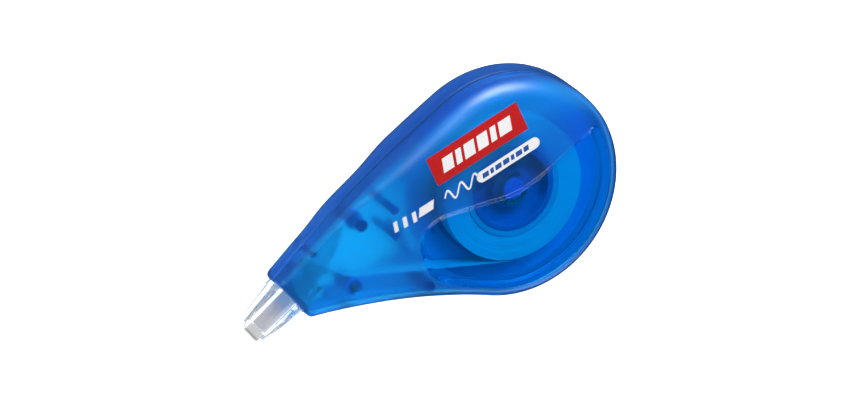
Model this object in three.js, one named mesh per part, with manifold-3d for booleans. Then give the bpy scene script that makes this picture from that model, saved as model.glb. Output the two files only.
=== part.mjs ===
// A single-use correction tape roller, in millimetres, lying on its back with +Z up.
// The origin is on the back face, on the axis of the two reels. +X runs from the applicator
// tip to the round head, and +Y to the side where the used film runs back to its reel.
import * as THREE from "three";
import { mergeVertices } from "three/addons/utils/BufferGeometryUtils.js";
import Module from "manifold-3d";

const wasm = await Module();
wasm.setup();

// ---------------------------------------------------------------- driving dimensions

const THICKNESS = 15.4; // head, from the back face to the front face
const SEAM_Z = 9.0; // parting plane of the two covers
const SEAM_GAP = 0.14; // left open between the covers' rims
const WALL = 1.1; // side walls and back wall of the covers
const ROOF = 1.6; // front wall of the front cover
const INNER_RADIUS_MIN = 0.5; // least fillet inside a cover's edge

// Outline of the case seen from the front: a round head, two smooth sides and a square-cut nose.
const HEAD = { x: 0.1, y: 0.6, radius: 23.9, lowerAngle: -124, upperAngle: 103.8 };
const NOSE_UPPER = { x: -54.1, y: 7.2, slope: 0.47 };
const NOSE_LOWER = { x: -50.5, y: -3.0, slope: -0.25 };
const NOSE_CORNER_RADIUS = 1.0;
const NOSE_FLOOR_Z = 4.2; // back face under the nose, which is thinner than the head
const NOSE_FRONT_Z = 13.2; // front face at the end of the nose
const BACK_FOLDS = [-20.3, -42.3]; // X where the back face starts and stops rising
const FRONT_FOLD = -22; // X where the front face starts to fall towards the nose

// Edge radii of the covers: at the nose, and round the head on the window's and the label's
// side. Between the two blend stations in X a radius grows from its nose to its head value.
const FRONT_SHOULDER = { nose: 1.1, window: 2.3, label: 4.5, blend: [-41, -12] };
const BACK_SHOULDER = { nose: 2.6, window: 5.7, label: 5.7, blend: [-39.5, -24.9] };
const LABEL_SIDE = [5, 40]; // degrees round the head where the label's side begins

// Window: a shallow step in the front face, deepest along its S-shaped upper edge.
const WINDOW_DEPTH = 0.75;
const WINDOW_REACH = 24; // the step runs out this far below its upper edge

// Reels, all on the spindle: heights are from the back face.
const SPINDLE_RADIUS = 2.4;
const RUNNING_GAP = 0.1;
const TAPE_WIDTH = 4.2;
const SUPPLY_RADIUS = 15.66;
const SUPPLY_TAPE_Z = 8.7;
const DRUM_RADIUS = 16.8;
const DRUM_FLANGE_RADIUS = 18.9;
const DRUM_FILM_Z = 2.6;
const FILM_RADIUS = 17.2;
const DISC = { radius: 21.8, low: 7.0, high: 7.7 };

// Guide rollers: the tape's centre height on each, and where its pin stands.
const LOWER_ROLLER = { x: -39.1, y: -1.8, z: 9.2 };
const UPPER_ROLLER = { x: -33.3, y: 10.3, z: 6.9 };
const ROLLER_RADIUS = 1.5;
const ROLLER_FLANGE_RADIUS = 1.9;
const ROLLER_HALF_LENGTH = TAPE_WIDTH / 2 + 0.7;
const PIN_RADIUS = 0.7;

// Applicator tip: measured along its axis from the middle of the nose end.
const TIP_Z = 8.8;
const TIP_LENGTH = 10.8;
const TIP_ROOT = -6;
const TIP_HALF_WIDTH = { root: 3.95, end: 3.4 };
const TIP_HALF_HEIGHT = { root: 2.6, end: 1.7 };
const TIP_GUARD = 0.9;
const TIP_COLLAR = { from: -1.4, to: 1.2, halfWidth: 4.1 }; // fills the nose opening
const TIP_LIP = { from: -5.2, to: -4.2, halfWidth: 4.45 }; // catches behind the nose wall
const BLADE_HALF_THICKNESS = { root: 1.1, end: 0.4 };
const BLADE_HALF_WIDTH = 2.6;
const RIBBON = { width: TAPE_WIDTH, thickness: 0.25, clearance: 0.3 };

const ROUND_DISC = 60; // facets round the large disc
const ROUND_LARGE = 44; // round the other parts of a reel
const ROUND_HUB = 32; // round a washer, collar or spindle
const ROUND_SMALL = 16; // round a pin, post or roller

// ---------------------------------------------------------------- solids

const degrees = THREE.MathUtils.degToRad;
const point = (x, y, z = 0) => new THREE.Vector3(x, y, z);

function signedVolume(positions, faces) {
  const [a, b, c] = [point(0, 0), point(0, 0), point(0, 0)];
  let volume = 0;
  for (let i = 0; i < faces.length; i += 3) {
    a.fromArray(positions, faces[i] * 3);
    b.fromArray(positions, faces[i + 1] * 3);
    c.fromArray(positions, faces[i + 2] * 3);
    volume += a.dot(b.cross(c));
  }
  return volume;
}

// A closed three.js geometry as a solid, with its faces turned outwards if they point in.
function solid(geometry) {
  const bare = geometry.index ? geometry.toNonIndexed() : geometry.clone();
  bare.deleteAttribute("normal");
  bare.deleteAttribute("uv");
  const merged = mergeVertices(bare, 1e-4);
  const vertProperties = merged.attributes.position.array;
  const triVerts = new Uint32Array(merged.index.array);
  if (signedVolume(vertProperties, triVerts) < 0) triVerts.reverse();
  return new wasm.Manifold(new wasm.Mesh({ numProp: 3, vertProperties, triVerts }));
}

function geometryOf(manifold) {
  const { vertProperties, triVerts } = manifold.getMesh();
  const geometry = new THREE.BufferGeometry();
  geometry.setAttribute("position", new THREE.BufferAttribute(vertProperties, 3));
  geometry.setIndex(new THREE.BufferAttribute(triVerts, 1));
  geometry.computeVertexNormals();
  return geometry;
}

// A turned piece about a vertical axis, from [radius, height] corners. A profile that doesn't
// start on the axis is closed on itself.
function turned(corners, facets = ROUND_LARGE, x = 0, y = 0) {
  const profile = corners.map(([radius, height]) => new THREE.Vector2(radius, height));
  if (corners[0][0] > 0) profile.push(profile[0].clone());
  const geometry = new THREE.LatheGeometry(profile, facets);
  geometry.rotateX(Math.PI / 2);
  geometry.translate(x, y, 0);
  return solid(geometry);
}

function ring(inner, outer, low, high, facets = ROUND_LARGE, x = 0, y = 0) {
  const corners = [[inner, low], [outer, low], [outer, high], [inner, high]];
  return turned(corners, facets, x, y);
}

function post(x, y, radius, low, high) {
  return turned([[0, low], [radius, low], [radius, high], [0, high]], ROUND_SMALL, x, y);
}

// A flat outline in X and Y, raised from one height to another.
function raised(outline, low, high, curveSegments = 12) {
  const shape = outline instanceof THREE.Shape ? outline : new THREE.Shape(outline);
  const depth = high - low;
  const geometry = new THREE.ExtrudeGeometry(shape, { depth, bevelEnabled: false, curveSegments });
  return solid(geometry.translate(0, 0, low));
}

// Rings of points, all with the same count, joined into one closed surface. The cap faces
// close the first ring, and turned round they close the last.
function loft(rings, caps) {
  const count = rings[0].length;
  const faces = [];
  for (let r = 0; r + 1 < rings.length; r += 1) {
    for (let c = 0; c < count; c += 1) {
      const here = r * count + c;
      const next = r * count + ((c + 1) % count);
      faces.push(here, here + count, next + count, here, next + count, next);
    }
  }
  const last = (rings.length - 1) * count;
  for (const [a, b, c] of caps) {
    faces.push(a, b, c, last + a, last + c, last + b);
  }
  const geometry = new THREE.BufferGeometry();
  const positions = rings.flat().flatMap((p) => [p.x, p.y, p.z]);
  geometry.setAttribute("position", new THREE.Float32BufferAttribute(positions, 3));
  geometry.setIndex(faces);
  return solid(geometry);
}

// ---------------------------------------------------------------- case outline

// A side of the case as its Y at each X: it leaves the head circle along the circle's tangent
// and reaches its nose corner at that corner's slope.
function sideCurve(headAngle, corner) {
  const angle = degrees(headAngle);
  const startX = HEAD.x + HEAD.radius * Math.cos(angle);
  const startY = HEAD.y + HEAD.radius * Math.sin(angle);
  const startSlope = -Math.cos(angle) / Math.sin(angle);
  const run = startX - corner.x;
  return (x) => {
    const s = (startX - x) / run;
    const toCorner = s * s * (3 - 2 * s);
    const leave = s * (1 - s) * (1 - s);
    const arrive = s * s * (s - 1);
    const bends = -run * (startSlope * leave + corner.slope * arrive);
    return startY * (1 - toCorner) + corner.y * toCorner + bends;
  };
}

const upperSide = sideCurve(HEAD.upperAngle, NOSE_UPPER);
const lowerSide = sideCurve(HEAD.lowerAngle, NOSE_LOWER);

const noseStep = new THREE.Vector2(NOSE_LOWER.x - NOSE_UPPER.x, NOSE_LOWER.y - NOSE_UPPER.y);
const noseAlong = noseStep.clone().normalize();
const tipAxis = new THREE.Vector2(noseAlong.y, -noseAlong.x); // points out of the nose
const tipAcross = new THREE.Vector2(-noseAlong.x, -noseAlong.y); // towards the upper side
const noseCentre = new THREE.Vector2(NOSE_UPPER.x, NOSE_UPPER.y).addScaledVector(noseStep, 0.5);

// A column is one place on the outline: its point on the widest outline, and how far the
// point moves for each millimetre that a ring lies inside that outline.
const column = (x, y, inwardX, inwardY) => ({ x, y, inwardX, inwardY });
const MITRE_DEPTH = 2.8; // a nose corner's columns close up at this inset
const MITRE_SPREAD = 0.15;

function headColumns(divisions) {
  return Array.from({ length: divisions + 1 }, (_, i) => {
    const turn = HEAD.lowerAngle + ((HEAD.upperAngle - HEAD.lowerAngle) * i) / divisions;
    const [cos, sin] = [Math.cos(degrees(turn)), Math.sin(degrees(turn))];
    return column(HEAD.x + HEAD.radius * cos, HEAD.y + HEAD.radius * sin, -cos, -sin);
  });
}

function sideColumns(side, stations, inwardSign) {
  const step = 0.01;
  return stations.map((x) => {
    const slope = (side(x + step) - side(x - step)) / (2 * step);
    return column(x, side(x), 0, inwardSign * Math.hypot(1, slope));
  });
}

// The columns round one nose corner, between the outward normals before and after it.
function cornerColumns(corner, before, after, divisions) {
  const mitre = before.clone().add(after).divideScalar(-(1 + before.dot(after)));
  const start = before.angle();
  const sweep = Math.acos(before.dot(after));
  return Array.from({ length: divisions + 1 }, (_, i) => {
    const turn = start + (sweep * i) / divisions;
    const [cos, sin] = [Math.cos(turn), Math.sin(turn)];
    const x = corner.x + mitre.x * NOSE_CORNER_RADIUS + NOSE_CORNER_RADIUS * cos;
    const y = corner.y + mitre.y * NOSE_CORNER_RADIUS + NOSE_CORNER_RADIUS * sin;
    const innerX = corner.x + mitre.x * MITRE_DEPTH + MITRE_SPREAD * cos;
    const innerY = corner.y + mitre.y * MITRE_DEPTH + MITRE_SPREAD * sin;
    return column(x, y, (innerX - x) / MITRE_DEPTH, (innerY - y) / MITRE_DEPTH);
  });
}

function noseColumns(fractions) {
  return fractions.map((f) => {
    const x = NOSE_UPPER.x + noseStep.x * f;
    const y = NOSE_UPPER.y + noseStep.y * f;
    return column(x, y, -tipAxis.x, -tipAxis.y);
  });
}

const outwardNormal = (slope, sign) => new THREE.Vector2(-slope * sign, sign).normalize();
const SHARED_STATIONS = [
  -14, -17, BACK_FOLDS[0], FRONT_FOLD, -25, -28.5, -32, -35.5, -39, BACK_FOLDS[1], -45, -48,
];
const UPPER_NEAR_HEAD = [-9.5];

const upperNormal = outwardNormal(NOSE_UPPER.slope, 1);
const lowerNormal = outwardNormal(NOSE_LOWER.slope, -1);
const columnGroups = [
  headColumns(36),
  sideColumns(upperSide, UPPER_NEAR_HEAD, -1),
  sideColumns(upperSide, SHARED_STATIONS, -1),
  cornerColumns(NOSE_UPPER, upperNormal, tipAxis, 3),
  noseColumns([0.3, 0.5, 0.7]),
  cornerColumns(NOSE_LOWER, tipAxis, lowerNormal, 3),
  sideColumns(lowerSide, [...SHARED_STATIONS].reverse(), 1),
];
const columns = columnGroups.flat();

// The faces that close a ring: a polygon over the head, a strip between each pair of stations
// on opposite sides, and a polygon over the nose.
function capFaces(flatRing) {
  const upperStart = columnGroups[0].length + columnGroups[1].length;
  const opposite = (i) => columns.length - 1 - i;
  const lastStation = SHARED_STATIONS.length - 1;
  const range = (from, to) => Array.from({ length: to - from + 1 }, (_, i) => from + i);
  const polygons = [
    [opposite(0), ...range(0, upperStart)],
    range(upperStart + lastStation, opposite(lastStation)),
  ];
  for (let i = 0; i < lastStation; i += 1) {
    polygons.push([opposite(i), upperStart + i, upperStart + i + 1, opposite(i + 1)]);
  }
  return polygons.flatMap((polygon) => {
    const contour = polygon.map((i) => new THREE.Vector2(flatRing[i].x, flatRing[i].y));
    const triangles = THREE.ShapeUtils.triangulateShape(contour, []);
    return triangles.map((corners) => corners.map((i) => polygon[i]));
  });
}

// ---------------------------------------------------------------- covers

function backFace(x) {
  const rise = (BACK_FOLDS[0] - x) / (BACK_FOLDS[0] - BACK_FOLDS[1]);
  return NOSE_FLOOR_Z * THREE.MathUtils.clamp(rise, 0, 1);
}

function frontFace(x) {
  const fall = Math.max(0, (FRONT_FOLD - x) / (FRONT_FOLD - NOSE_UPPER.x));
  return THICKNESS - (THICKNESS - NOSE_FRONT_Z) * fall;
}

function shoulderRadius(shoulder, { x, y }) {
  const turn = THREE.MathUtils.radToDeg(Math.atan2(y - HEAD.y, x - HEAD.x));
  const labelShare = THREE.MathUtils.smoothstep(turn, ...LABEL_SIDE);
  const head = THREE.MathUtils.lerp(shoulder.window, shoulder.label, labelShare);
  return THREE.MathUtils.lerp(shoulder.nose, head, THREE.MathUtils.smoothstep(x, ...shoulder.blend));
}

// One cover as a shell: over the outside from the flat face to the rim, and back inside.
function coverShell(face, shoulder, faceThickness, rimZ, intoCase) {
  const steps = 3;
  const ringAt = (inset, depth) =>
    columns.map((c) => {
      const x = c.x + c.inwardX * inset(c);
      const y = c.y + c.inwardY * inset(c);
      return point(x, y, face(x) + intoCase * depth(c));
    });
  const rim = (inset) =>
    columns.map((c) => point(c.x + c.inwardX * inset, c.y + c.inwardY * inset, rimZ));
  const outerRadius = (c) => shoulderRadius(shoulder, c);
  const innerRadius = (c) => Math.max(outerRadius(c) - WALL, INNER_RADIUS_MIN);
  const outside = [];
  const inside = [];
  for (let i = 0; i <= steps; i += 1) {
    const turn = (Math.PI / 2) * (i / steps);
    const [flat, deep] = [1 - Math.sin(turn), 1 - Math.cos(turn)];
    outside.push(ringAt((c) => outerRadius(c) * flat, (c) => outerRadius(c) * deep));
    inside.unshift(
      ringAt((c) => WALL + innerRadius(c) * flat, (c) => faceThickness + innerRadius(c) * deep)
    );
  }
  const rings = [...outside, rim(0), rim(WALL), ...inside];
  return loft(rings, capFaces(rings[0]));
}

// All that lies inside a cover's outer skin. A post is cut to this, so none of it shows outside.
function coverCore(face, shoulder, rimZ, intoCase) {
  const steps = 3;
  const rings = [];
  for (let i = 0; i <= steps; i += 1) {
    const turn = (Math.PI / 2) * (i / steps);
    const [flat, deep] = [1 - Math.sin(turn), 1 - Math.cos(turn)];
    rings.push(
      columns.map((c) => {
        const inset = CORE_INSET + shoulderRadius(shoulder, c) * flat;
        const x = c.x + c.inwardX * inset;
        const y = c.y + c.inwardY * inset;
        const depth = CORE_INSET + shoulderRadius(shoulder, c) * deep;
        return point(x, y, face(x) + intoCase * depth);
      })
    );
  }
  const rim = (c) => point(c.x + c.inwardX * CORE_INSET, c.y + c.inwardY * CORE_INSET, rimZ);
  rings.push(columns.map(rim));
  return loft(rings, capFaces(rings[0]));
}

// A box in the tip's directions: along and across its axis, and between two heights.
function noseBox(fromAlong, toAlong, halfWidth, low, high) {
  const corners = [
    [fromAlong, -halfWidth],
    [toAlong, -halfWidth],
    [toAlong, halfWidth],
    [fromAlong, halfWidth],
  ];
  return raised(corners.map(([along, across]) => atTip(along, across)), low, high);
}

function atTip(along, across) {
  return noseCentre.clone().addScaledVector(tipAxis, along).addScaledVector(tipAcross, across);
}

const NOSE_OPENING = noseBox(-3, 2, 4.2, 5.8, 11.8);

// Posts where the covers plug together, and the short posts that steady the ribbon.
const SNAP_POSTS = [
  { x: -44.8, y: 9.7, radius: 0.8 },
  { x: -24.5, y: -10.0, radius: 1.2 },
  { x: -27.3, y: 4.3, radius: 0.8 },
  { x: -25.6, y: 9.9, radius: 0.9 },
];
const PIN_SOCKET = { radius: 1.35, hole: PIN_RADIUS + 0.05, depth: 0.6 };
const PIN_SOCKET_REACH = ROLLER_HALF_LENGTH + 0.2; // from the middle of the roller
const POST_ROOT = 0.7; // a post starts this far inside the outer face
const CORE_INSET = 0.35; // and it is cut off this far inside the rounded edge
const REEL_RIB = { inner: 24.2, outer: 25.0, from: 174, to: 190 };
const RIB_ROOT = 0.3; // the rib starts this far inside the outer face
const SPINDLE_SEAT = { inner: 4.9, outer: 5.7, high: 1.9 };

function arcBand(inner, outer, fromDegrees, toDegrees) {
  const shape = new THREE.Shape();
  shape.absarc(0, 0, outer, degrees(fromDegrees), degrees(toDegrees), false);
  shape.absarc(0, 0, inner, degrees(toDegrees), degrees(fromDegrees), true);
  return shape;
}

// Adds a socket for a roller's pin: a post with a blind hole in its free end.
function addPinSocket(cover, pin, rootZ, endZ) {
  const { radius, hole, depth } = PIN_SOCKET;
  const [low, high] = [Math.min(rootZ, endZ), Math.max(rootZ, endZ)];
  const bore = post(pin.x, pin.y, hole, endZ - depth, endZ + depth);
  return cover.add(post(pin.x, pin.y, radius, low, high)).subtract(bore);
}

function makeBackCover() {
  const rimZ = SEAM_Z - SEAM_GAP / 2;
  let cover = coverShell(backFace, BACK_SHOULDER, WALL, rimZ, 1).subtract(NOSE_OPENING);
  const core = coverCore(backFace, BACK_SHOULDER, rimZ, 1);
  for (const { x, y, radius } of SNAP_POSTS) {
    cover = cover.add(post(x, y, radius, backFace(x) + POST_ROOT, rimZ).intersect(core));
  }
  for (const pin of [LOWER_ROLLER, UPPER_ROLLER]) {
    cover = addPinSocket(cover, pin, backFace(pin.x) + POST_ROOT, pin.z - PIN_SOCKET_REACH);
  }
  const ribPlan = arcBand(REEL_RIB.inner, REEL_RIB.outer, REEL_RIB.from, REEL_RIB.to);
  const rib = raised(ribPlan, backFace(-REEL_RIB.outer) + RIB_ROOT, rimZ);
  const { inner, outer, high } = SPINDLE_SEAT;
  return cover.add(rib).add(ring(inner, outer, POST_ROOT, high, ROUND_HUB));
}

// The step's upper edge from the left lobe to the head's right side, closed below the case.
function windowOutline() {
  const edge = new THREE.SplineCurve(
    [
      [-17.2, -14], [-23.4, -8.3], [-24.2, -1.8], [-22.6, 2.4], [-17.6, 4.1],
      [-8.8, 2.3], [0.8, 0.5], [11.8, 2.4], [21.4, 5.2],
    ].map(([x, y]) => new THREE.Vector2(x, y))
  );
  const outside = [[30, 6], [30, -30], [-12, -30]];
  return [...edge.getPoints(30), ...outside.map(([x, y]) => new THREE.Vector2(x, y))];
}

function windowCutter() {
  const aboveCase = 6;
  const tilt = THREE.MathUtils.radToDeg(Math.atan(WINDOW_DEPTH / WINDOW_REACH));
  const cutter = raised(windowOutline(), 0, aboveCase).rotate([-tilt, 0, 0]);
  return cutter.translate([0, 0, THICKNESS - WINDOW_DEPTH]);
}

function makeFrontCover() {
  const rimZ = SEAM_Z + SEAM_GAP / 2;
  let cover = coverShell(frontFace, FRONT_SHOULDER, ROOF, rimZ, -1).subtract(NOSE_OPENING);
  const core = coverCore(frontFace, FRONT_SHOULDER, rimZ, -1);
  for (const { x, y, radius } of SNAP_POSTS) {
    cover = cover.add(post(x, y, radius, rimZ, frontFace(x) - POST_ROOT).intersect(core));
  }
  for (const pin of [LOWER_ROLLER, UPPER_ROLLER]) {
    cover = addPinSocket(cover, pin, frontFace(pin.x) - POST_ROOT, pin.z + PIN_SOCKET_REACH);
  }
  return cover.subtract(windowCutter());
}

// ---------------------------------------------------------------- spindle and stack

const HUB_BORE = SPINDLE_RADIUS + RUNNING_GAP;
const SPINDLE = { low: 1.3, high: 13.3, flangeRadius: 4.5, flangeHigh: 1.7 };
const CLIP = { low: 12.35, high: 12.8, groove: 1.9, radius: 3.6, play: 0.05, halfGap: 38 };
const BACK_WASHER = { radius: 4.4, low: 1.75, high: 1.95 };
const FRONT_WASHER = { radius: 4.3, low: 12.08, high: 12.3 };

// The pin both reels turn on, with a foot flange, a groove for the clip and a chamfered end.
function makeSpindle() {
  const { low, high, flangeRadius, flangeHigh } = SPINDLE;
  const [grooveLow, grooveHigh] = [CLIP.low - CLIP.play, CLIP.high + CLIP.play];
  return turned(
    [
      [0, low], [flangeRadius, low], [flangeRadius, flangeHigh], [SPINDLE_RADIUS, flangeHigh],
      [SPINDLE_RADIUS, grooveLow], [CLIP.groove, grooveLow],
      [CLIP.groove, grooveHigh], [SPINDLE_RADIUS, grooveHigh],
      [SPINDLE_RADIUS, high - 0.2], [SPINDLE_RADIUS - 0.5, high], [0, high],
    ],
    ROUND_HUB
  );
}

// An open spring clip that snaps sideways into the spindle's groove.
function makeSpindleClip() {
  const inner = CLIP.groove + CLIP.play;
  const band = arcBand(inner, CLIP.radius, CLIP.halfGap, 360 - CLIP.halfGap);
  return raised(band, CLIP.low, CLIP.high, 16);
}

const makeWasher = ({ radius, low, high }) => ring(HUB_BORE, radius, low, high, ROUND_HUB);

// The drum that the used film winds on: a sleeve on the spindle, a web, an outer wall open to
// the back, and a rear flange.
const SLEEVE_RADIUS = 4.2; // of a reel's sleeve on the spindle
const DRUM = { wall: 1.2, sleeveLow: 2.0, flangeLow: 1.75, flangeHigh: 2.4, webLow: 5.8, high: 6.9 };

function makeTakeUpDrum() {
  const { sleeveLow, flangeLow, flangeHigh, webLow, high } = DRUM;
  const hollow = DRUM_RADIUS - DRUM.wall;
  return turned([
    [HUB_BORE, sleeveLow], [SLEEVE_RADIUS, sleeveLow], [SLEEVE_RADIUS, webLow],
    [hollow, webLow], [hollow, flangeLow],
    [DRUM_FLANGE_RADIUS, flangeLow], [DRUM_FLANGE_RADIUS, flangeHigh],
    [DRUM_RADIUS, flangeHigh], [DRUM_RADIUS, high], [HUB_BORE, high],
  ]);
}

// The large front disc of the take-up reel, with three curved slots that leave springy arms.
const DISC_SLOT = { inner: 17.6, outer: 18.4, sweep: 70 };

function makeTakeUpDisc() {
  let disc = ring(HUB_BORE, DISC.radius, DISC.low, DISC.high, ROUND_DISC);
  for (const start of [0, 120, 240]) {
    const slot = arcBand(DISC_SLOT.inner, DISC_SLOT.outer, start, start + DISC_SLOT.sweep);
    disc = disc.subtract(raised(slot, DISC.low - 1, DISC.high + 1));
  }
  return disc;
}

const makeTakeUpFilm = () =>
  ring(DRUM_RADIUS + 0.1, FILM_RADIUS, DRUM_FILM_Z, DRUM_FILM_Z + TAPE_WIDTH);

// The toothed ring fixed to the back cover, with saw teeth facing in.
const RATCHET = { outer: 12.8, root: 11.4, crest: 10.6, teeth: 24, low: 1.35, high: 3.2 };

function makeRatchetRing() {
  const shape = new THREE.Shape();
  shape.absarc(0, 0, RATCHET.outer, 0, 2 * Math.PI, false);
  const teeth = [];
  for (let i = 0; i < RATCHET.teeth; i += 1) {
    const turn = (2 * Math.PI * i) / RATCHET.teeth;
    for (const radius of [RATCHET.crest, RATCHET.root]) {
      teeth.push(new THREE.Vector2(radius * Math.cos(turn), radius * Math.sin(turn)));
    }
  }
  shape.holes.push(new THREE.Path(teeth));
  return raised(shape, RATCHET.low, RATCHET.high, ROUND_LARGE);
}

// Two springy arms on a collar pressed on the drum's sleeve. Their ends stop just short of the
// teeth, as when they are bent back.
const PAWL_PLATE = { low: 2.1, high: 3.0, collar: 5.6, fit: 0.05 };
const PAWL_ARM = { innerStart: 4.9, innerEnd: 9.1, width: 0.9, sweep: 95, steps: 12 };

function makePawlPlate() {
  const { low, high, collar, fit } = PAWL_PLATE;
  const arm = PAWL_ARM;
  let plate = ring(SLEEVE_RADIUS + fit, collar, low, high, ROUND_HUB);
  for (const start of [0, 180]) {
    const edge = (extra) =>
      Array.from({ length: arm.steps + 1 }, (_, i) => {
        const share = i / arm.steps;
        const radius = arm.innerStart + (arm.innerEnd - arm.innerStart) * share + extra;
        const turn = degrees(start + arm.sweep * share);
        return new THREE.Vector2(radius * Math.cos(turn), radius * Math.sin(turn));
      });
    plate = plate.add(raised([...edge(arm.width), ...edge(0).reverse()], low, high));
  }
  return plate;
}

// The supply hub: a sleeve on the spindle, a rear flange, a hollow under it for the clutch
// ring, and an open cup in front for the spring.
const HUB = { cup: 8.0, wall: 9.2, flange: 16.6, high: 13.1 };
const HUB_FLANGE = { low: 8.05, high: 8.55 };
const HUB_WEB = { low: 9.6, high: 10.4 };
const HUB_SLEEVE_LOW = 7.85;
const CORE = { inner: 9.3, outer: 10.5, below: 0.05, above: 0.1 };
const CLUTCH = { inner: 5.9, outer: 7.5, low: 7.8, high: 9.5 };
const CORE_TO_TAPE = 0.1;

function makeSupplyHub() {
  return turned([
    [HUB_BORE, HUB_SLEEVE_LOW], [SLEEVE_RADIUS, HUB_SLEEVE_LOW], [SLEEVE_RADIUS, HUB_WEB.low],
    [HUB.cup, HUB_WEB.low], [HUB.cup, HUB_FLANGE.low], [HUB.flange, HUB_FLANGE.low],
    [HUB.flange, HUB_FLANGE.high], [HUB.wall, HUB_FLANGE.high], [HUB.wall, HUB.high],
    [HUB.cup, HUB.high], [HUB.cup, HUB_WEB.high], [HUB_BORE, HUB_WEB.high],
  ]);
}

const makeClutchRing = () => ring(CLUTCH.inner, CLUTCH.outer, CLUTCH.low, CLUTCH.high, ROUND_HUB);

function makeSupplyCore() {
  const low = SUPPLY_TAPE_Z - CORE.below;
  return ring(CORE.inner, CORE.outer, low, SUPPLY_TAPE_Z + TAPE_WIDTH + CORE.above);
}

function makeSupplyRoll() {
  const inner = CORE.outer + CORE_TO_TAPE;
  return ring(inner, SUPPLY_RADIUS, SUPPLY_TAPE_Z, SUPPLY_TAPE_Z + TAPE_WIDTH);
}

// The coil spring that presses the supply hub on the clutch ring.
const SPRING = { radius: 3.3, turns: 2.5, low: 10.75, high: 11.8, wire: 0.2 };

class Helix extends THREE.Curve {
  getPoint(t) {
    const { radius, turns, low, high } = SPRING;
    const turn = 2 * Math.PI * turns * t;
    return point(radius * Math.cos(turn), radius * Math.sin(turn), low + (high - low) * t);
  }
}

function makeClutchSpring() {
  const section = new THREE.Shape();
  section.absarc(0, 0, SPRING.wire, 0, 2 * Math.PI, false);
  const options = { steps: 48, curveSegments: 3, bevelEnabled: false, extrudePath: new Helix() };
  return solid(new THREE.ExtrudeGeometry(section, options));
}

// ---------------------------------------------------------------- guide rollers

function makeRoller(pin) {
  const low = pin.z - ROLLER_HALF_LENGTH;
  const high = pin.z + ROLLER_HALF_LENGTH;
  const rim = 0.4;
  const bore = PIN_RADIUS + RUNNING_GAP;
  const corners = [
    [bore, low], [ROLLER_FLANGE_RADIUS, low], [ROLLER_FLANGE_RADIUS, low + rim],
    [ROLLER_RADIUS, low + rim], [ROLLER_RADIUS, high - rim],
    [ROLLER_FLANGE_RADIUS, high - rim], [ROLLER_FLANGE_RADIUS, high], [bore, high],
  ];
  return turned(corners, ROUND_SMALL, pin.x, pin.y);
}

function makeRollerPin(pin) {
  const reach = PIN_SOCKET_REACH + PIN_SOCKET.depth - 0.1;
  return post(pin.x, pin.y, PIN_RADIUS, pin.z - reach, pin.z + reach);
}

// ---------------------------------------------------------------- applicator tip

const along = (fraction, { root, end }) => root + (end - root) * fraction;

// An outline in the tip's side view, [along, height], spread across the tip.
function sideProfile(outline, halfWidth) {
  const shape = outline instanceof THREE.Shape
    ? outline
    : new THREE.Shape(flatPoints(outline));
  const options = { depth: 2 * halfWidth, bevelEnabled: false, curveSegments: 6 };
  const geometry = new THREE.ExtrudeGeometry(shape, options);
  return solid(geometry.rotateX(Math.PI / 2).translate(0, halfWidth, 0));
}

// The tip in its own directions: X along it, Y across it, Z from its middle plane.
function makeTip() {
  const guardEnd = TIP_LENGTH - 0.9;
  const [rootW, endW] = [TIP_HALF_WIDTH.root, TIP_HALF_WIDTH.end];
  const [rootH, endH] = [TIP_HALF_HEIGHT.root, TIP_HALF_HEIGHT.end];
  const [innerRootW, innerEndW] = [rootW - TIP_GUARD, endW - TIP_GUARD];
  const plan = flatPoints([
    [TIP_ROOT, -rootW], [0, -rootW], [guardEnd, -endW],
    [guardEnd, endW], [0, rootW], [TIP_ROOT, rootW],
  ]);
  const side = [
    [TIP_ROOT, -rootH], [0, -rootH], [guardEnd - 1, -endH], [guardEnd, 1 - endH],
    [guardEnd, endH - 1], [guardEnd - 1, endH], [0, rootH], [TIP_ROOT, rootH],
  ];
  const innerPlan = flatPoints([
    [TIP_ROOT - 1, -innerRootW], [0, -innerRootW], [TIP_LENGTH, -innerEndW],
    [TIP_LENGTH, innerEndW], [0, innerRootW], [TIP_ROOT - 1, innerRootW],
  ]);
  const channel = raised(innerPlan, -rootH - 1, rootH + 1);
  const blade = sideProfile(bladeOutline(), BLADE_HALF_WIDTH);
  const web = sideProfile(bladeOutline(), rootW).intersect(raised(plan, -rootH, rootH));
  const guards = sideProfile(side, rootW + 1).intersect(raised(plan, -rootH - 1, rootH + 1));
  const [collar, lip] = [TIP_COLLAR, TIP_LIP].map(({ from, to, halfWidth }) =>
    raised(rectangle(from, to, halfWidth), -rootH, rootH).subtract(channel)
  );
  return guards.subtract(channel).add(web).add(blade).add(collar).add(lip);
}

const flatPoints = (pairs) => pairs.map(([x, y]) => new THREE.Vector2(x, y));

function rectangle(fromX, toX, halfY) {
  return flatPoints([[fromX, -halfY], [toX, -halfY], [toX, halfY], [fromX, halfY]]);
}

// The blade's side view: a wedge with a round end.
function bladeOutline() {
  const { root, end } = BLADE_HALF_THICKNESS;
  const shape = new THREE.Shape();
  shape.moveTo(TIP_ROOT, -root);
  shape.lineTo(TIP_LENGTH - end, -end);
  shape.absarc(TIP_LENGTH - end, 0, end, -Math.PI / 2, Math.PI / 2, false);
  shape.lineTo(TIP_ROOT, root);
  return shape;
}

// ---------------------------------------------------------------- ribbons

// The straight stretch of ribbon between two circles. A centre on the left of the direction of
// travel has side 1, and one on the right has side -1.
function tangentBetween(from, to) {
  const step = new THREE.Vector2(to.x - from.x, to.y - from.y);
  const reach = to.side * to.radius - from.side * from.radius;
  const heading = step.angle() - Math.asin(reach / step.length());
  const left = new THREE.Vector2(-Math.sin(heading), Math.cos(heading));
  return [from, to].map(({ x, y, side, radius }) =>
    new THREE.Vector2(x, y).addScaledVector(left, -side * radius)
  );
}

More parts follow.
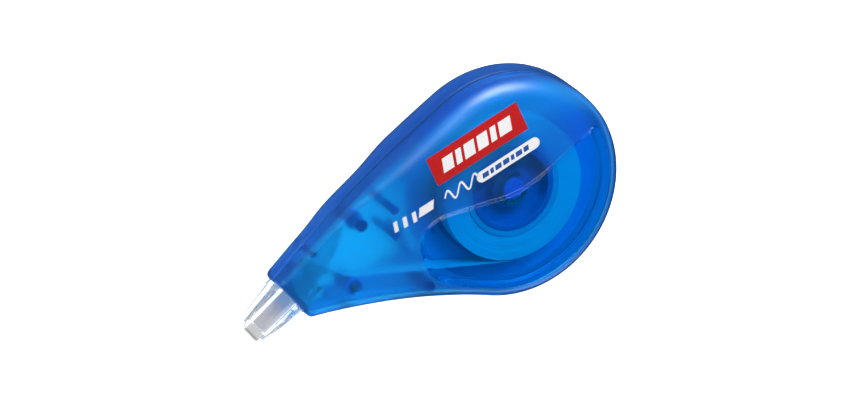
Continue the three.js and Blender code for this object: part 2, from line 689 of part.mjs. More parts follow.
// A station of a ribbon: its centre and the direction of its width, which turns from upright
// (0) through level across the tip (1) to upright again (2).
function station(flat, z, twist) {
  const turn = (Math.PI / 2) * twist;
  const level = point(tipAcross.x, tipAcross.y).multiplyScalar(Math.sin(turn));
  return { at: point(flat.x, flat.y, z), width: level.add(point(0, 0, Math.cos(turn))) };
}

function between(start, end, zRange, twistRange, steps) {
  return Array.from({ length: steps }, (_, i) => {
    const share = i / steps;
    const eased = THREE.MathUtils.smoothstep(share, 0, 1);
    const z = THREE.MathUtils.lerp(...zRange, eased);
    const twist = THREE.MathUtils.lerp(...twistRange, eased);
    return station(start.clone().lerp(end, share), z, twist);
  });
}

function ribbon(stations) {
  const rings = stations.map(({ at, width }, i) => {
    const before = stations[Math.max(i - 1, 0)].at;
    const after = stations[Math.min(i + 1, stations.length - 1)].at;
    const travel = after.clone().sub(before).normalize();
    const across = width.clone().addScaledVector(travel, -width.dot(travel)).normalize();
    const through = travel.clone().cross(across).multiplyScalar(RIBBON.thickness / 2);
    across.multiplyScalar(RIBBON.width / 2);
    return [[1, 1], [-1, 1], [-1, -1], [1, -1]].map(([a, t]) =>
      at.clone().addScaledVector(across, a).addScaledVector(through, t)
    );
  });
  return loft(rings, [[0, 1, 2], [0, 2, 3]]);
}

// How far the ribbon's middle lies from the tip's middle plane on the blade.
function bladeClear(distance) {
  const { root, end } = BLADE_HALF_THICKNESS;
  const share = (distance - TIP_ROOT) / (TIP_LENGTH - end - TIP_ROOT);
  return root + (end - root) * share + RIBBON.clearance;
}

const ON_BLADE = { start: -6.6, end: TIP_LENGTH - BLADE_HALF_THICKNESS.end };
const RIBBON_JOIN = ON_BLADE.end - 1.5; // the fresh tape turns into used film here

const rollerCircle = (pin, side) => ({
  x: pin.x, y: pin.y, side, radius: ROLLER_RADIUS + RIBBON.clearance,
});
const pointCircle = ({ x, y }) => ({ x, y, side: 1, radius: 0 });

function makeFeedRun() {
  const tapeZ = SUPPLY_TAPE_Z + TAPE_WIDTH / 2;
  const roll = { x: 0, y: 0, side: -1, radius: SUPPLY_RADIUS + RIBBON.clearance };
  const roller = rollerCircle(LOWER_ROLLER, 1);
  const tipRoot = atTip(ON_BLADE.start, 0);
  const tipEnd = atTip(ON_BLADE.end, 0);
  const [leaveRoll, meetRoller] = tangentBetween(roll, roller);
  const [leaveRoller] = tangentBetween(roller, pointCircle(tipRoot));
  const clearOfFlange = leaveRoll.clone().lerp(meetRoller, 0.2); // level until here
  const rootZ = TIP_Z - bladeClear(ON_BLADE.start);
  const endZ = TIP_Z - bladeClear(ON_BLADE.end);
  const stations = [
    ...between(leaveRoll, clearOfFlange, [tapeZ, tapeZ], [0, 0], 2),
    ...between(clearOfFlange, meetRoller, [tapeZ, LOWER_ROLLER.z], [0, 0], 4),
    ...between(leaveRoller, tipRoot, [LOWER_ROLLER.z, rootZ], [0, 1], 8),
    ...between(tipRoot, tipEnd, [rootZ, endZ], [1, 1], 4),
  ];
  const wrapSteps = 6;
  const wrapRadius = bladeClear(ON_BLADE.end);
  for (let i = 0; i <= wrapSteps; i += 1) {
    const turn = Math.PI * (i / wrapSteps - 0.5);
    const flat = atTip(ON_BLADE.end + wrapRadius * Math.cos(turn), 0);
    stations.push(station(flat, TIP_Z + wrapRadius * Math.sin(turn), 1));
  }
  const joinZ = TIP_Z + bladeClear(RIBBON_JOIN + RIBBON.thickness);
  stations.push(station(atTip(RIBBON_JOIN + RIBBON.thickness, 0), joinZ, 1));
  return ribbon(stations);
}

function makeReturnRun() {
  const filmZ = DRUM_FILM_Z + TAPE_WIDTH / 2;
  const drum = { x: 0, y: 0, side: -1, radius: FILM_RADIUS + RIBBON.clearance };
  const roller = rollerCircle(UPPER_ROLLER, -1);
  const tipRoot = atTip(ON_BLADE.start, 0);
  const start = atTip(RIBBON_JOIN - RIBBON.thickness, 0);
  const [, meetRoller] = tangentBetween(pointCircle(tipRoot), roller);
  const [leaveRoller, meetDrum] = tangentBetween(roller, drum);
  const startZ = TIP_Z + bladeClear(RIBBON_JOIN - RIBBON.thickness);
  const rootZ = TIP_Z + bladeClear(ON_BLADE.start);
  const underDisc = leaveRoller.clone().lerp(meetDrum, 0.52); // at drum height from here
  return ribbon([
    ...between(start, tipRoot, [startZ, rootZ], [1, 1], 4),
    ...between(tipRoot, meetRoller, [rootZ, UPPER_ROLLER.z], [1, 2], 8),
    ...between(leaveRoller, underDisc, [UPPER_ROLLER.z, filmZ], [2, 2], 5),
    ...between(underDisc, meetDrum, [filmZ, filmZ], [2, 2], 3),
    station(meetDrum, filmZ, 2),
  ]);
}

// ---------------------------------------------------------------- assembly

const roller = new THREE.Group();

function addPiece(name, piece, colour, roughness, metalness = 0, parent = roller) {
  const material = new THREE.MeshStandardMaterial({ color: colour, roughness, metalness });
  const mesh = new THREE.Mesh(geometryOf(piece), material);
  mesh.name = name;
  parent.add(mesh);
}

const COLOUR = {
  caseBlue: 0x0f6fe0,
  clear: 0xf1f3f5,
  white: 0xf6f7f8,
  naturalWhite: 0xdfe6ee,
  reelBlue: 0x5c5c9e,
  indigo: 0x3a35a5,
  film: 0xdcdbe2,
  rubber: 0x2b2b30,
  steel: 0xb9bdc2,
};

addPiece("back_cover", makeBackCover(), COLOUR.caseBlue, 0.35);
addPiece("front_cover", makeFrontCover(), COLOUR.caseBlue, 0.3);

const tipFrame = new THREE.Group();
tipFrame.position.set(noseCentre.x, noseCentre.y, TIP_Z);
tipFrame.rotation.z = tipAxis.angle();
roller.add(tipFrame);
addPiece("applicator_tip", makeTip(), COLOUR.clear, 0.2, 0, tipFrame);

addPiece("reel_spindle", makeSpindle(), COLOUR.indigo, 0.4);
addPiece("spindle_clip", makeSpindleClip(), COLOUR.steel, 0.35, 1);
addPiece("back_thrust_washer", makeWasher(BACK_WASHER), COLOUR.naturalWhite, 0.4);
addPiece("front_thrust_washer", makeWasher(FRONT_WASHER), COLOUR.indigo, 0.4);
addPiece("anti_reverse_ring", makeRatchetRing(), COLOUR.naturalWhite, 0.45);

addPiece("take_up_drum", makeTakeUpDrum(), COLOUR.reelBlue, 0.4);
addPiece("take_up_disc", makeTakeUpDisc(), COLOUR.reelBlue, 0.35);
addPiece("take_up_film", makeTakeUpFilm(), COLOUR.film, 0.3);
addPiece("pawl_plate", makePawlPlate(), COLOUR.naturalWhite, 0.45);

addPiece("supply_hub", makeSupplyHub(), COLOUR.indigo, 0.4);
addPiece("supply_core", makeSupplyCore(), COLOUR.white, 0.5);
addPiece("supply_tape_roll", makeSupplyRoll(), COLOUR.white, 0.6);
addPiece("clutch_ring", makeClutchRing(), COLOUR.rubber, 0.85);
addPiece("clutch_spring", makeClutchSpring(), COLOUR.steel, 0.3, 1);

addPiece("lower_guide_roller", makeRoller(LOWER_ROLLER), COLOUR.indigo, 0.4);
addPiece("lower_roller_pin", makeRollerPin(LOWER_ROLLER), COLOUR.steel, 0.3, 1);
addPiece("upper_guide_roller", makeRoller(UPPER_ROLLER), COLOUR.indigo, 0.4);
addPiece("upper_roller_pin", makeRollerPin(UPPER_ROLLER), COLOUR.steel, 0.3, 1);

addPiece("feed_tape_run", makeFeedRun(), COLOUR.white, 0.5);
addPiece("return_film_run", makeReturnRun(), COLOUR.film, 0.3);

export default roller;
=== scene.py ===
import math
import random
from collections import namedtuple

import bmesh
import bpy
import numpy as np
from mathutils import Matrix, Vector
from mathutils.bvhtree import BVHTree
from mathutils.geometry import delaunay_2d_cdt


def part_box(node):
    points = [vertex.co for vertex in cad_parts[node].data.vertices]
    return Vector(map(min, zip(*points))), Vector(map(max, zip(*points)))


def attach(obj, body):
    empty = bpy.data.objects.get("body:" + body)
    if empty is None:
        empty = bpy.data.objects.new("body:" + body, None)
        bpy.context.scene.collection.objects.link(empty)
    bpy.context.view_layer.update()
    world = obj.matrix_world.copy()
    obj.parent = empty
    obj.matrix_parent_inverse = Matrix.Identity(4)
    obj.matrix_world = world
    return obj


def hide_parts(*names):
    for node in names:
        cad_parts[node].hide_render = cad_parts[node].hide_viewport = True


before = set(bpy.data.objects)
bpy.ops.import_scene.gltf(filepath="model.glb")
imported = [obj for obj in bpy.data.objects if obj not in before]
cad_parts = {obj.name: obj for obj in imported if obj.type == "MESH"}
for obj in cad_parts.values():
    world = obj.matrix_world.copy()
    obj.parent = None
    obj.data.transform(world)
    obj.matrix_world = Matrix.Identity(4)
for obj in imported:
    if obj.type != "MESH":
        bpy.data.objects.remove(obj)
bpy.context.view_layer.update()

MM = 0.001


def box(node):
    """The lowest and highest corner of a CAD node, in millimetres."""
    low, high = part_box(node)
    return low / MM, high / MM


# ---------------------------------------------------------------- driving dimensions

THICKNESS = box("front_cover")[1].z
SEAM_Z = (box("front_cover")[0].z + box("back_cover")[1].z) / 2
SEAM_GAP = 0.14
WALL = 1.1
ROOF = 1.6

# Outline of the case: a round head, two smooth sides and a square-cut nose.
HEAD_X, HEAD_Y, HEAD_RADIUS = 0.1, 0.6, 23.9
HEAD_LOWER_ANGLE, HEAD_UPPER_ANGLE = -124, 103.8
NOSE_UPPER = {"x": -54.1, "y": 7.2, "slope": 0.47}
NOSE_LOWER = {"x": -50.5, "y": -3.0, "slope": -0.25}
NOSE_CORNER_RADIUS = 1.0
NOSE_FLOOR_Z = 4.2
NOSE_FRONT_Z = 13.2
BACK_FOLDS = (-20.3, -42.3)
FRONT_FOLD = -22
FOLD_SOFTNESS = 2.5  # half the length over which a fold of a flat face is rounded
FRONT_SHOULDER = {"nose": 1.1, "window": 2.3, "label": 4.5, "blend": (-41, -12)}
BACK_SHOULDER = {"nose": 2.6, "window": 5.7, "label": 5.7, "blend": (-39.5, -24.9)}
LABEL_SIDE = (5, 40)  # degrees round the head where the label's side begins
INNER_RADIUS_MIN = 0.5
MITRE_DEPTH = 2.8
MITRE_SPREAD = 0.15

# Window: a shallow glossy step with an S-shaped upper edge.
WINDOW_DEPTH = 0.75
WINDOW_REACH = 24
WINDOW_EDGE = [
    (-12, -30), (-17.2, -14), (-23.4, -8.3), (-24.2, -1.8), (-22.6, 2.4), (-17.6, 4.1),
    (-8.8, 2.3), (0.8, 0.5), (11.8, 2.4), (21.4, 5.2), (30, 6),
]
STEP_WIDTH = 1.5
CREASE = 0.06  # softness of the line where the window's floor meets the old surface
RIM_LEDGE = 0.35  # level band left between the window and the rounded edge of the case
LABEL_DOME = 0.6  # how far the label's side falls away from the window's edge
LABEL_REACH = 20

TAPE_WIDTH = 4.2
RIBBON_THICKNESS = 0.1
RIBBON_CLEARANCE = 0.3
PIN_SOCKET_RADIUS = 1.35
SNAP_POSTS = [(-44.8, 9.7, 0.8), (-24.5, -10.0, 1.2), (-27.3, 4.3, 0.8), (-25.6, 9.9, 0.9)]
REEL_RIB = {"inner": 24.2, "outer": 25.0, "from": 174, "to": 190}


# ---------------------------------------------------------------- meshes

SHARP_ANGLE = 35  # degrees between two faces that leave a sharp edge
BEVEL_ANGLE = 32  # degrees between two CAD faces that are rounded off
PROFILE_STEPS = 4  # steps round each rounded corner of a turned profile
ON_AXIS = 1e-6


def mesh_object(name, points, faces, material_of_face=None):
    """An object from points in millimetres, with its faces turned outwards."""
    mesh = bpy.data.meshes.new(name)
    mesh.from_pydata([tuple(p) for p in points], [], faces)
    if material_of_face is not None:
        mesh.polygons.foreach_set("material_index", material_of_face)
    work = bmesh.new()
    work.from_mesh(mesh)
    bmesh.ops.remove_doubles(work, verts=work.verts, dist=1e-4)
    bmesh.ops.recalc_face_normals(work, faces=work.faces)
    work.to_mesh(mesh)
    work.free()
    piece = bpy.data.objects.new(name, mesh)
    bpy.context.scene.collection.objects.link(piece)
    return piece


def bake_modifiers(piece):
    """Leaves the piece with the mesh that its modifiers make, and no modifiers."""
    evaluated = piece.evaluated_get(bpy.context.evaluated_depsgraph_get())
    piece.data = bpy.data.meshes.new_from_object(evaluated)
    piece.modifiers.clear()


def combine(piece, tool, operation):
    """Joins a tool to the piece or cuts it out, and deletes the tool."""
    modifier = piece.modifiers.new(operation, "BOOLEAN")
    modifier.solver = "MANIFOLD"
    modifier.operation = operation
    modifier.object = tool
    bake_modifiers(piece)
    bpy.data.objects.remove(tool)


def give_materials(piece, materials):
    """Fills the piece's material list and keeps each face's place in it."""
    places = np.zeros(len(piece.data.polygons), np.int32)
    piece.data.polygons.foreach_get("material_index", places)
    piece.data.materials.clear()
    for material in materials:
        piece.data.materials.append(material)
    piece.data.polygons.foreach_set("material_index", np.minimum(places, len(materials) - 1))


def finish_piece(piece, body, slot, materials, nodes):
    """Scales a piece to metres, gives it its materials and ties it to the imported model."""
    piece.data.transform(Matrix.Scale(MM, 4))
    piece.data.shade_smooth()
    piece.data.set_sharp_from_angle(angle=math.radians(SHARP_ANGLE))
    give_materials(piece, materials)
    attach(piece, body)
    if nodes:
        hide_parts(*nodes)
    return piece


def quads(ring_count, size):
    """The faces between neighbouring rings that have the same number of points."""
    faces = []
    for r in range(ring_count - 1):
        for c in range(size):
            here, beside = r * size + c, r * size + (c + 1) % size
            faces.append((here, here + size, beside + size, beside))
    return faces


def rounded_profile(corners, radius):
    """A closed polygon of [radius, height] corners with each corner rounded off."""
    result = []
    count = len(corners)
    for i, corner in enumerate(corners):
        here = Vector(corner)
        before = Vector(corners[i - 1]) - here
        after = Vector(corners[(i + 1) % count]) - here
        reach = min(radius, before.length * 0.45, after.length * 0.45)
        if here.x < ON_AXIS or radius == 0:
            result.append(here)
            continue
        start = here + before.normalized() * reach
        end = here + after.normalized() * reach
        for k in range(PROFILE_STEPS + 1):
            t = k / PROFILE_STEPS
            result.append(start * (1 - t) ** 2 + here * 2 * t * (1 - t) + end * t * t)
    return result


def turned(name, corners, radius=0.12, segments=96, centre=(0, 0)):
    """A piece turned about an upright axis, its edges rounded off."""
    profile = rounded_profile(corners, radius)
    points = []
    for i in range(segments):
        turn = 2 * math.pi * i / segments
        for p in profile:
            points.append((centre[0] + p.x * math.cos(turn), centre[1] + p.x * math.sin(turn), p.y))
    size = len(profile)
    faces = quads(segments, size)
    last = (segments - 1) * size
    for c in range(size):
        beside = (c + 1) % size
        faces.append((last + c, c, beside, last + beside))
    faces = [f for f in faces if not on_axis(f, profile, size)]
    return mesh_object(name, points, faces)


def on_axis(face, profile, size):
    """True for a face that has shrunk to a line on the axis."""
    return sum(profile[i % size].x < ON_AXIS for i in face) == 4


def ring_corners(inner, outer, low, high):
    return [(inner, low), (outer, low), (outer, high), (inner, high)]


def post(x, y, radius, low, high):
    return turned("post", ring_corners(0, radius, low, high), 0.1, 40, (x, y))


def prism(name, outline, low, high):
    """A flat outline raised from one height to another."""
    count = len(outline)
    points = [(x, y, low) for x, y in outline] + [(x, y, high) for x, y in outline]
    sides = [(i, (i + 1) % count, (i + 1) % count + count, i + count) for i in range(count)]
    caps = [tuple(range(count))[::-1], tuple(range(count, 2 * count))]
    return mesh_object(name, points, sides + caps)


def arc(radius, start, end, steps):
    turns = np.radians(np.linspace(start, end, steps + 1))
    return [(radius * math.cos(t), radius * math.sin(t)) for t in turns]


def arc_band(inner, outer, start, end, steps=24):
    return arc(outer, start, end, steps) + arc(inner, end, start, steps)


def refined(node, bevel):
    """A copy of a CAD node's shape with its edges rounded off, in millimetres."""
    piece = bpy.data.objects.new(node + "_fine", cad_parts[node].data.copy())
    bpy.context.scene.collection.objects.link(piece)
    piece.data.transform(Matrix.Scale(1 / MM, 4))
    work = bmesh.new()
    work.from_mesh(piece.data)
    bmesh.ops.remove_doubles(work, verts=work.verts, dist=1e-3)
    flat = math.radians(2)
    bmesh.ops.dissolve_limit(work, angle_limit=flat, verts=work.verts, edges=work.edges)
    work.to_mesh(piece.data)
    work.free()
    modifier = piece.modifiers.new("edges", "BEVEL")
    modifier.width = bevel
    modifier.segments = 3
    modifier.limit_method = "ANGLE"
    modifier.angle_limit = math.radians(BEVEL_ANGLE)
    modifier.use_clamp_overlap = True
    bake_modifiers(piece)
    return piece


# ---------------------------------------------------------------- materials

def new_material(name):
    material = bpy.data.materials.new(name)
    material.use_nodes = True
    tree = material.node_tree
    return material, tree, tree.nodes["Principled BSDF"], tree.nodes["Material Output"]


def add(tree, kind, inputs=None, **settings):
    """A new node with its settings and its unlinked inputs."""
    made = tree.nodes.new(kind)
    for key, value in settings.items():
        setattr(made, key, value)
    for key, value in (inputs or {}).items():
        made.inputs[key].default_value = value
    return made


def noise(tree, size, detail=3.0, stretch=(1, 1, 1)):
    """Noise whose features are about the given size in millimetres."""
    place = add(tree, "ShaderNodeTexCoord")
    scaled = add(tree, "ShaderNodeMapping", {"Scale": stretch})
    made = add(tree, "ShaderNodeTexNoise", {"Scale": 1 / (size * MM), "Detail": detail})
    tree.links.new(place.outputs["Object"], scaled.inputs["Vector"])
    tree.links.new(scaled.outputs["Vector"], made.inputs["Vector"])
    return made.outputs["Fac"]


def spread(tree, source, low, high):
    """A noise turned into a number between low and high."""
    made = add(tree, "ShaderNodeMapRange", {1: 0.3, 2: 0.7, 3: low, 4: high})
    tree.links.new(source, made.inputs[0])
    return made.outputs[0]


def vary_roughness(tree, shaders, size, low, high):
    value = spread(tree, noise(tree, size), low, high)
    for shader in shaders:
        tree.links.new(value, shader.inputs["Roughness"])


def vary_colour(tree, shader, colour, other, size, stretch=(1, 1, 1)):
    """Drifts the base colour between two near colours."""
    share = spread(tree, noise(tree, size, 4.0, stretch), 0, 1)
    tree.links.new(mix_colours(tree, colour, other, share), shader.inputs["Base Color"])


def mix_colours(tree, colour, other, share):
    mix = add(tree, "ShaderNodeMix", {"A": (*colour, 1), "B": (*other, 1)}, data_type="RGBA")
    tree.links.new(share, mix.inputs["Factor"])
    return mix.outputs["Result"]


def bump(tree, shaders, height, depth):
    """A bump of the given depth in millimetres."""
    made = add(tree, "ShaderNodeBump", {"Strength": 1.0, "Distance": depth * MM})
    tree.links.new(height, made.inputs["Height"])
    for shader in shaders:
        tree.links.new(made.outputs["Normal"], shader.inputs["Normal"])
    return made


PLASTIC_IOR = 1.49
POLISHED_TINT = (0.02, 0.42, 0.75)  # what a wall lets through when both faces have this tint
FROSTED_TINT = (0.02, 0.09, 0.38)  # the side walls and the rounded edges
LABEL_TINT = (0.02, 0.24, 0.62)
NOSE_TINT = (0.02, 0.8, 0.9)
POST_TINT = (0.02, 0.09, 0.4)
CASE_MILK = (0.003, 0.42, 0.88)  # colour of the light that the blue plastic scatters
PAINTED_LIGHT_Y = (5.0, 17.0)  # painted light: the label's side gets a lighter milky glow between these two Y, where the key lamp's light falls
PAINTED_LIGHT_X = (-27.0, -5.0)  # and from the nose to the head between these two X
LABEL_X = (-34.0, -14.0)  # the flat faces turn from the nose's tint to the label's tint
FACE_Z = (12.2, 14.6)  # the front cover turns from side wall to face between these two Z


def case_plastic(name, tint, roughness, milk, label_painted_light=0, grain=0, nose_tint=None,
                 side_tint=None):
    """Translucent blue plastic: tinted clear plastic that scatters a little light.

    A grainy skin only reflects; the light that passes through isn't bent by the grain.
    A label share paints light: the label's side of the head gets a lighter milky glow.
    """
    material, tree, clear, output = new_material(name)
    clear.inputs["Base Color"].default_value = (*tint, 1)
    if nose_tint:
        blend_tints(tree, clear, nose_tint, tint, side_tint)
    clear.inputs["Transmission Weight"].default_value = 1.0
    clear.inputs["IOR"].default_value = PLASTIC_IOR
    milky = add(tree, "ShaderNodeBsdfPrincipled", {"IOR": PLASTIC_IOR})
    milky.inputs["Base Color"].default_value = (*CASE_MILK, 1)
    vary_roughness(tree, [clear, milky], 6.0, *roughness)
    if grain:
        clear.inputs["Specular IOR Level"].default_value = 0.12
        clear.inputs["Coat Weight"].default_value = 0.3
        clear.inputs["Coat Roughness"].default_value = roughness[1]
        relief = bump(tree, [milky], noise(tree, 0.34, 2.0), grain)
        tree.links.new(relief.outputs["Normal"], clear.inputs["Coat Normal"])
    else:
        bump(tree, [clear, milky], noise(tree, 9.0, 1.0), 0.05)
    share = spread(tree, noise(tree, 4.0, 2.0), *milk)
    # painted light: a lighter milky glow on the label's side of the head, where the key lamp's
    # light falls
    if label_painted_light:
        share = paint_light_on_label(tree, share, label_painted_light)
    join_clear_and_milky(tree, clear, milky, share, tint, output)
    return material


def join_clear_and_milky(tree, clear, milky, share, tint, output):
    """Mixes a share of the milky shader into the clear one. Lamp light passes straight
    through a face, coloured by the root of a wall's tint."""
    plastic = mix_shaders(tree, clear.outputs["BSDF"], milky.outputs["BSDF"])
    tree.links.new(share, plastic.inputs["Fac"])
    lamps = add(tree, "ShaderNodeBsdfTransparent")
    lamps.inputs["Color"].default_value = (*[math.sqrt(c) for c in tint], 1)
    path = add(tree, "ShaderNodeLightPath")
    surface = mix_shaders(tree, plastic.outputs["Shader"], lamps.outputs["BSDF"])
    tree.links.new(path.outputs["Is Shadow Ray"], surface.inputs["Fac"])
    tree.links.new(surface.outputs["Shader"], output.inputs["Surface"])


def mix_shaders(tree, first, second):
    made = add(tree, "ShaderNodeMixShader")
    tree.links.new(first, made.inputs[1])
    tree.links.new(second, made.inputs[2])
    return made


def rise_along(tree, axis, places, height):
    """A value that rises smoothly from 0 to a height between two places on an axis."""
    place = add(tree, "ShaderNodeTexCoord")
    axes = add(tree, "ShaderNodeSeparateXYZ")
    tree.links.new(place.outputs["Object"], axes.inputs["Vector"])
    rise = add(tree, "ShaderNodeMapRange", {
        "From Min": places[0] * MM, "From Max": places[1] * MM, "To Min": 0.0, "To Max": height,
    }, interpolation_type="SMOOTHSTEP")
    tree.links.new(axes.outputs[axis], rise.inputs["Value"])
    return rise.outputs["Result"]


def paint_light_on_label(tree, share, extra):
    """Painted light: adds to a share of milk on the label's side of the head, but not on the side
    wall, as a lighter glow where the key lamp's light falls.
    """
    more = rise_along(tree, "Y", PAINTED_LIGHT_Y, extra)
    for axis, places in (("X", PAINTED_LIGHT_X), ("Z", FACE_Z)):
        more = combined(tree, "MULTIPLY", more, rise_along(tree, axis, places, 1.0))
    return combined(tree, "ADD", share, more)


def combined(tree, operation, first, second):
    """The sum or the product of two values."""
    made = add(tree, "ShaderNodeMath", operation=operation)
    tree.links.new(first, made.inputs[0])
    tree.links.new(second, made.inputs[1])
    return made.outputs["Value"]


def blend_tints(tree, shader, nose_tint, tint, side_tint):
    """Tints a clear plastic one way by the nose, another way on the head and, if it is the
    front cover, a third way on the side wall."""
    result = mix_colours(tree, nose_tint, tint, rise_along(tree, "X", LABEL_X, 1.0))
    if side_tint:
        mix = add(tree, "ShaderNodeMix", {"A": (*side_tint, 1)}, data_type="RGBA")
        tree.links.new(rise_along(tree, "Z", FACE_Z, 1.0), mix.inputs["Factor"])
        tree.links.new(result, mix.inputs["B"])
        result = mix.outputs["Result"]
    tree.links.new(result, shader.inputs["Base Color"])


TIP_TINT = (0.95, 0.965, 0.98)


def clear_plastic(name):
    """Polished clear plastic with faint flow marks."""
    material, tree, clear, output = new_material(name)
    clear.inputs["Base Color"].default_value = (*TIP_TINT, 1)
    clear.inputs["Transmission Weight"].default_value = 1.0
    clear.inputs["IOR"].default_value = PLASTIC_IOR
    milky = add(tree, "ShaderNodeBsdfPrincipled", {"IOR": PLASTIC_IOR})
    milky.inputs["Base Color"].default_value = (0.86, 0.88, 0.9, 1)
    vary_roughness(tree, [clear, milky], 2.5, 0.05, 0.12)
    bump(tree, [clear, milky], noise(tree, 2.0, 2.0), 0.03)
    share = spread(tree, noise(tree, 3.0, 2.0), 0.1, 0.18)
    join_clear_and_milky(tree, clear, milky, share, TIP_TINT, output)
    return material


def satin_plastic(name, colour, other, roughness=(0.32, 0.45)):
    """Moulded opaque plastic: near colours, uneven gloss and a fine skin."""
    material, tree, shader, _ = new_material(name)
    shader.inputs["IOR"].default_value = PLASTIC_IOR
    vary_colour(tree, shader, colour, other, 3.0)
    vary_roughness(tree, [shader], 1.5, *roughness)
    bump(tree, [shader], noise(tree, 0.3, 3.0), 0.006)
    return material


def wound_tape(name, colour, other):
    """Wound layers: fine rings round the reels' axis, slightly uneven in tone and height."""
    material, tree, shader, _ = new_material(name)
    place = add(tree, "ShaderNodeTexCoord")
    flat = add(tree, "ShaderNodeVectorMath", {1: (1, 1, 0)}, operation="MULTIPLY")
    radius = add(tree, "ShaderNodeVectorMath", operation="LENGTH")
    rings = add(tree, "ShaderNodeTexNoise", {"Scale": 1 / (0.16 * MM), "Detail": 2.0},
                noise_dimensions="1D")
    tree.links.new(place.outputs["Object"], flat.inputs[0])
    tree.links.new(flat.outputs[0], radius.inputs[0])
    tree.links.new(radius.outputs["Value"], rings.inputs["W"])
    share = spread(tree, rings.outputs["Fac"], 0, 1)
    tree.links.new(mix_colours(tree, colour, other, share), shader.inputs["Base Color"])
    vary_roughness(tree, [shader], 1.2, 0.5, 0.7)
    bump(tree, [shader], rings.outputs["Fac"], 0.03)
    return material


def soft_rubber(name):
    material, tree, shader, _ = new_material(name)
    vary_colour(tree, shader, (0.03, 0.03, 0.035), (0.05, 0.05, 0.055), 0.8)
    vary_roughness(tree, [shader], 0.6, 0.75, 0.92)
    bump(tree, [shader], noise(tree, 0.12, 4.0), 0.02)
    return material


def drawn_steel(name):
    """Steel with fine marks along its height and a light oil sheen."""
    material, tree, shader, _ = new_material(name)
    shader.inputs["Metallic"].default_value = 1.0
    vary_colour(tree, shader, (0.6, 0.61, 0.63), (0.45, 0.46, 0.48), 0.4, (1, 1, 0.15))
    vary_roughness(tree, [shader], 0.5, 0.22, 0.38)
    bump(tree, [shader], noise(tree, 0.08, 2.0, (1, 1, 0.05)), 0.004)
    return material


def thin_film(name, colour, clearness):
    """Thin ribbon that lets part of the light straight through, with faint creases."""
    material, tree, shader, output = new_material(name)
    vary_colour(tree, shader, colour, tuple(c * 0.93 for c in colour), 1.5)
    vary_roughness(tree, [shader], 1.0, 0.3, 0.5)
    bump(tree, [shader], noise(tree, 1.1, 2.0, (0.4, 1, 1)), 0.03)
    see = add(tree, "ShaderNodeBsdfTransparent")
    surface = mix_shaders(tree, shader.outputs["BSDF"], see.outputs["BSDF"])
    surface.inputs["Fac"].default_value = clearness
    tree.links.new(surface.outputs["Shader"], output.inputs["Surface"])
    return material


def ink(name, colour, other):
    """Pad-printed ink: nearly even, a little mottled and half matt."""
    material, tree, shader, _ = new_material(name)
    vary_colour(tree, shader, colour, other, 0.7)
    vary_roughness(tree, [shader], 0.9, 0.38, 0.52)
    bump(tree, [shader], noise(tree, 0.25, 3.0), 0.006)
    return material


FROSTED = case_plastic("case_blue_frosted", FROSTED_TINT, (0.31, 0.39), (0.03, 0.07), grain=0.05)
POLISHED = case_plastic("case_blue_polished", POLISHED_TINT, (0.03, 0.08), (0.02, 0.05))
# The front skin's label share is painted light: a lighter milky glow where the key lamp's light
# falls on the label's side.
FRONT_SKIN = case_plastic(
    "case_blue_front", LABEL_TINT, (0.31, 0.39), (0.04, 0.08),
    label_painted_light=0.32, grain=0.05, nose_tint=NOSE_TINT, side_tint=FROSTED_TINT,
)
BACK_FACE = case_plastic(
    "case_blue_back", LABEL_TINT, (0.31, 0.39), (0.05, 0.1), grain=0.05, nose_tint=NOSE_TINT
)
POST_BLUE = case_plastic("case_blue_posts", POST_TINT, (0.05, 0.1), (0.1, 0.16))
CLEAR = clear_plastic("tip_clear")
DISC_BLUE = satin_plastic("reel_blue", (0.4, 0.52, 0.86), (0.35, 0.46, 0.8))
HUB_INDIGO = satin_plastic("hub_indigo", (0.28, 0.22, 0.5), (0.24, 0.18, 0.45))
# The spindle's indigo, also on the rollers, is lighter than the hub's. It is partly the part's own
# colour and partly painted light that lifts the shade on the spindle's top.
SPINDLE_INDIGO = satin_plastic("spindle_indigo", (0.45, 0.3, 0.8), (0.38, 0.26, 0.74))
NATURAL = satin_plastic("natural_white", (0.66, 0.7, 0.76), (0.6, 0.64, 0.71), (0.3, 0.42))
CORE_WHITE = satin_plastic("core_white", (0.62, 0.62, 0.72), (0.56, 0.56, 0.66), (0.4, 0.55))
TAPE_WHITE = wound_tape("correction_tape_wound", (0.86, 0.86, 0.85), (0.74, 0.74, 0.74))
FILM_WOUND = wound_tape("used_film_wound", (0.6, 0.6, 0.66), (0.5, 0.5, 0.56))
RUBBER = soft_rubber("clutch_rubber")
STEEL = drawn_steel("spring_steel_drawn")
RIBBON_TAPE = thin_film("feed_tape_film", (0.86, 0.86, 0.87), 0.25)
RIBBON_FILM = thin_film("used_film_ribbon", (0.62, 0.61, 0.66), 0.5)
INK_RED = ink("ink_red", (0.6, 0.01, 0.011), (0.53, 0.008, 0.009))
INK_WHITE = ink("ink_white", (0.96, 0.96, 0.96), (0.9, 0.9, 0.92))
INK_BLUE = ink("ink_blue", (0.02, 0.10, 0.42), (0.016, 0.085, 0.36))


# ---------------------------------------------------------------- case outline

def smoothstep(value, start=0.0, end=1.0):
    share = np.clip((value - start) / (end - start), 0, 1)
    return share * share * (3 - 2 * share)


def soft_ramp(value, softness):
    """max(value, 0) with its corner rounded over twice the softness."""
    bend = (value + softness) ** 2 / (4 * softness)
    return np.where(value < -softness, 0, np.where(value > softness, value, bend))


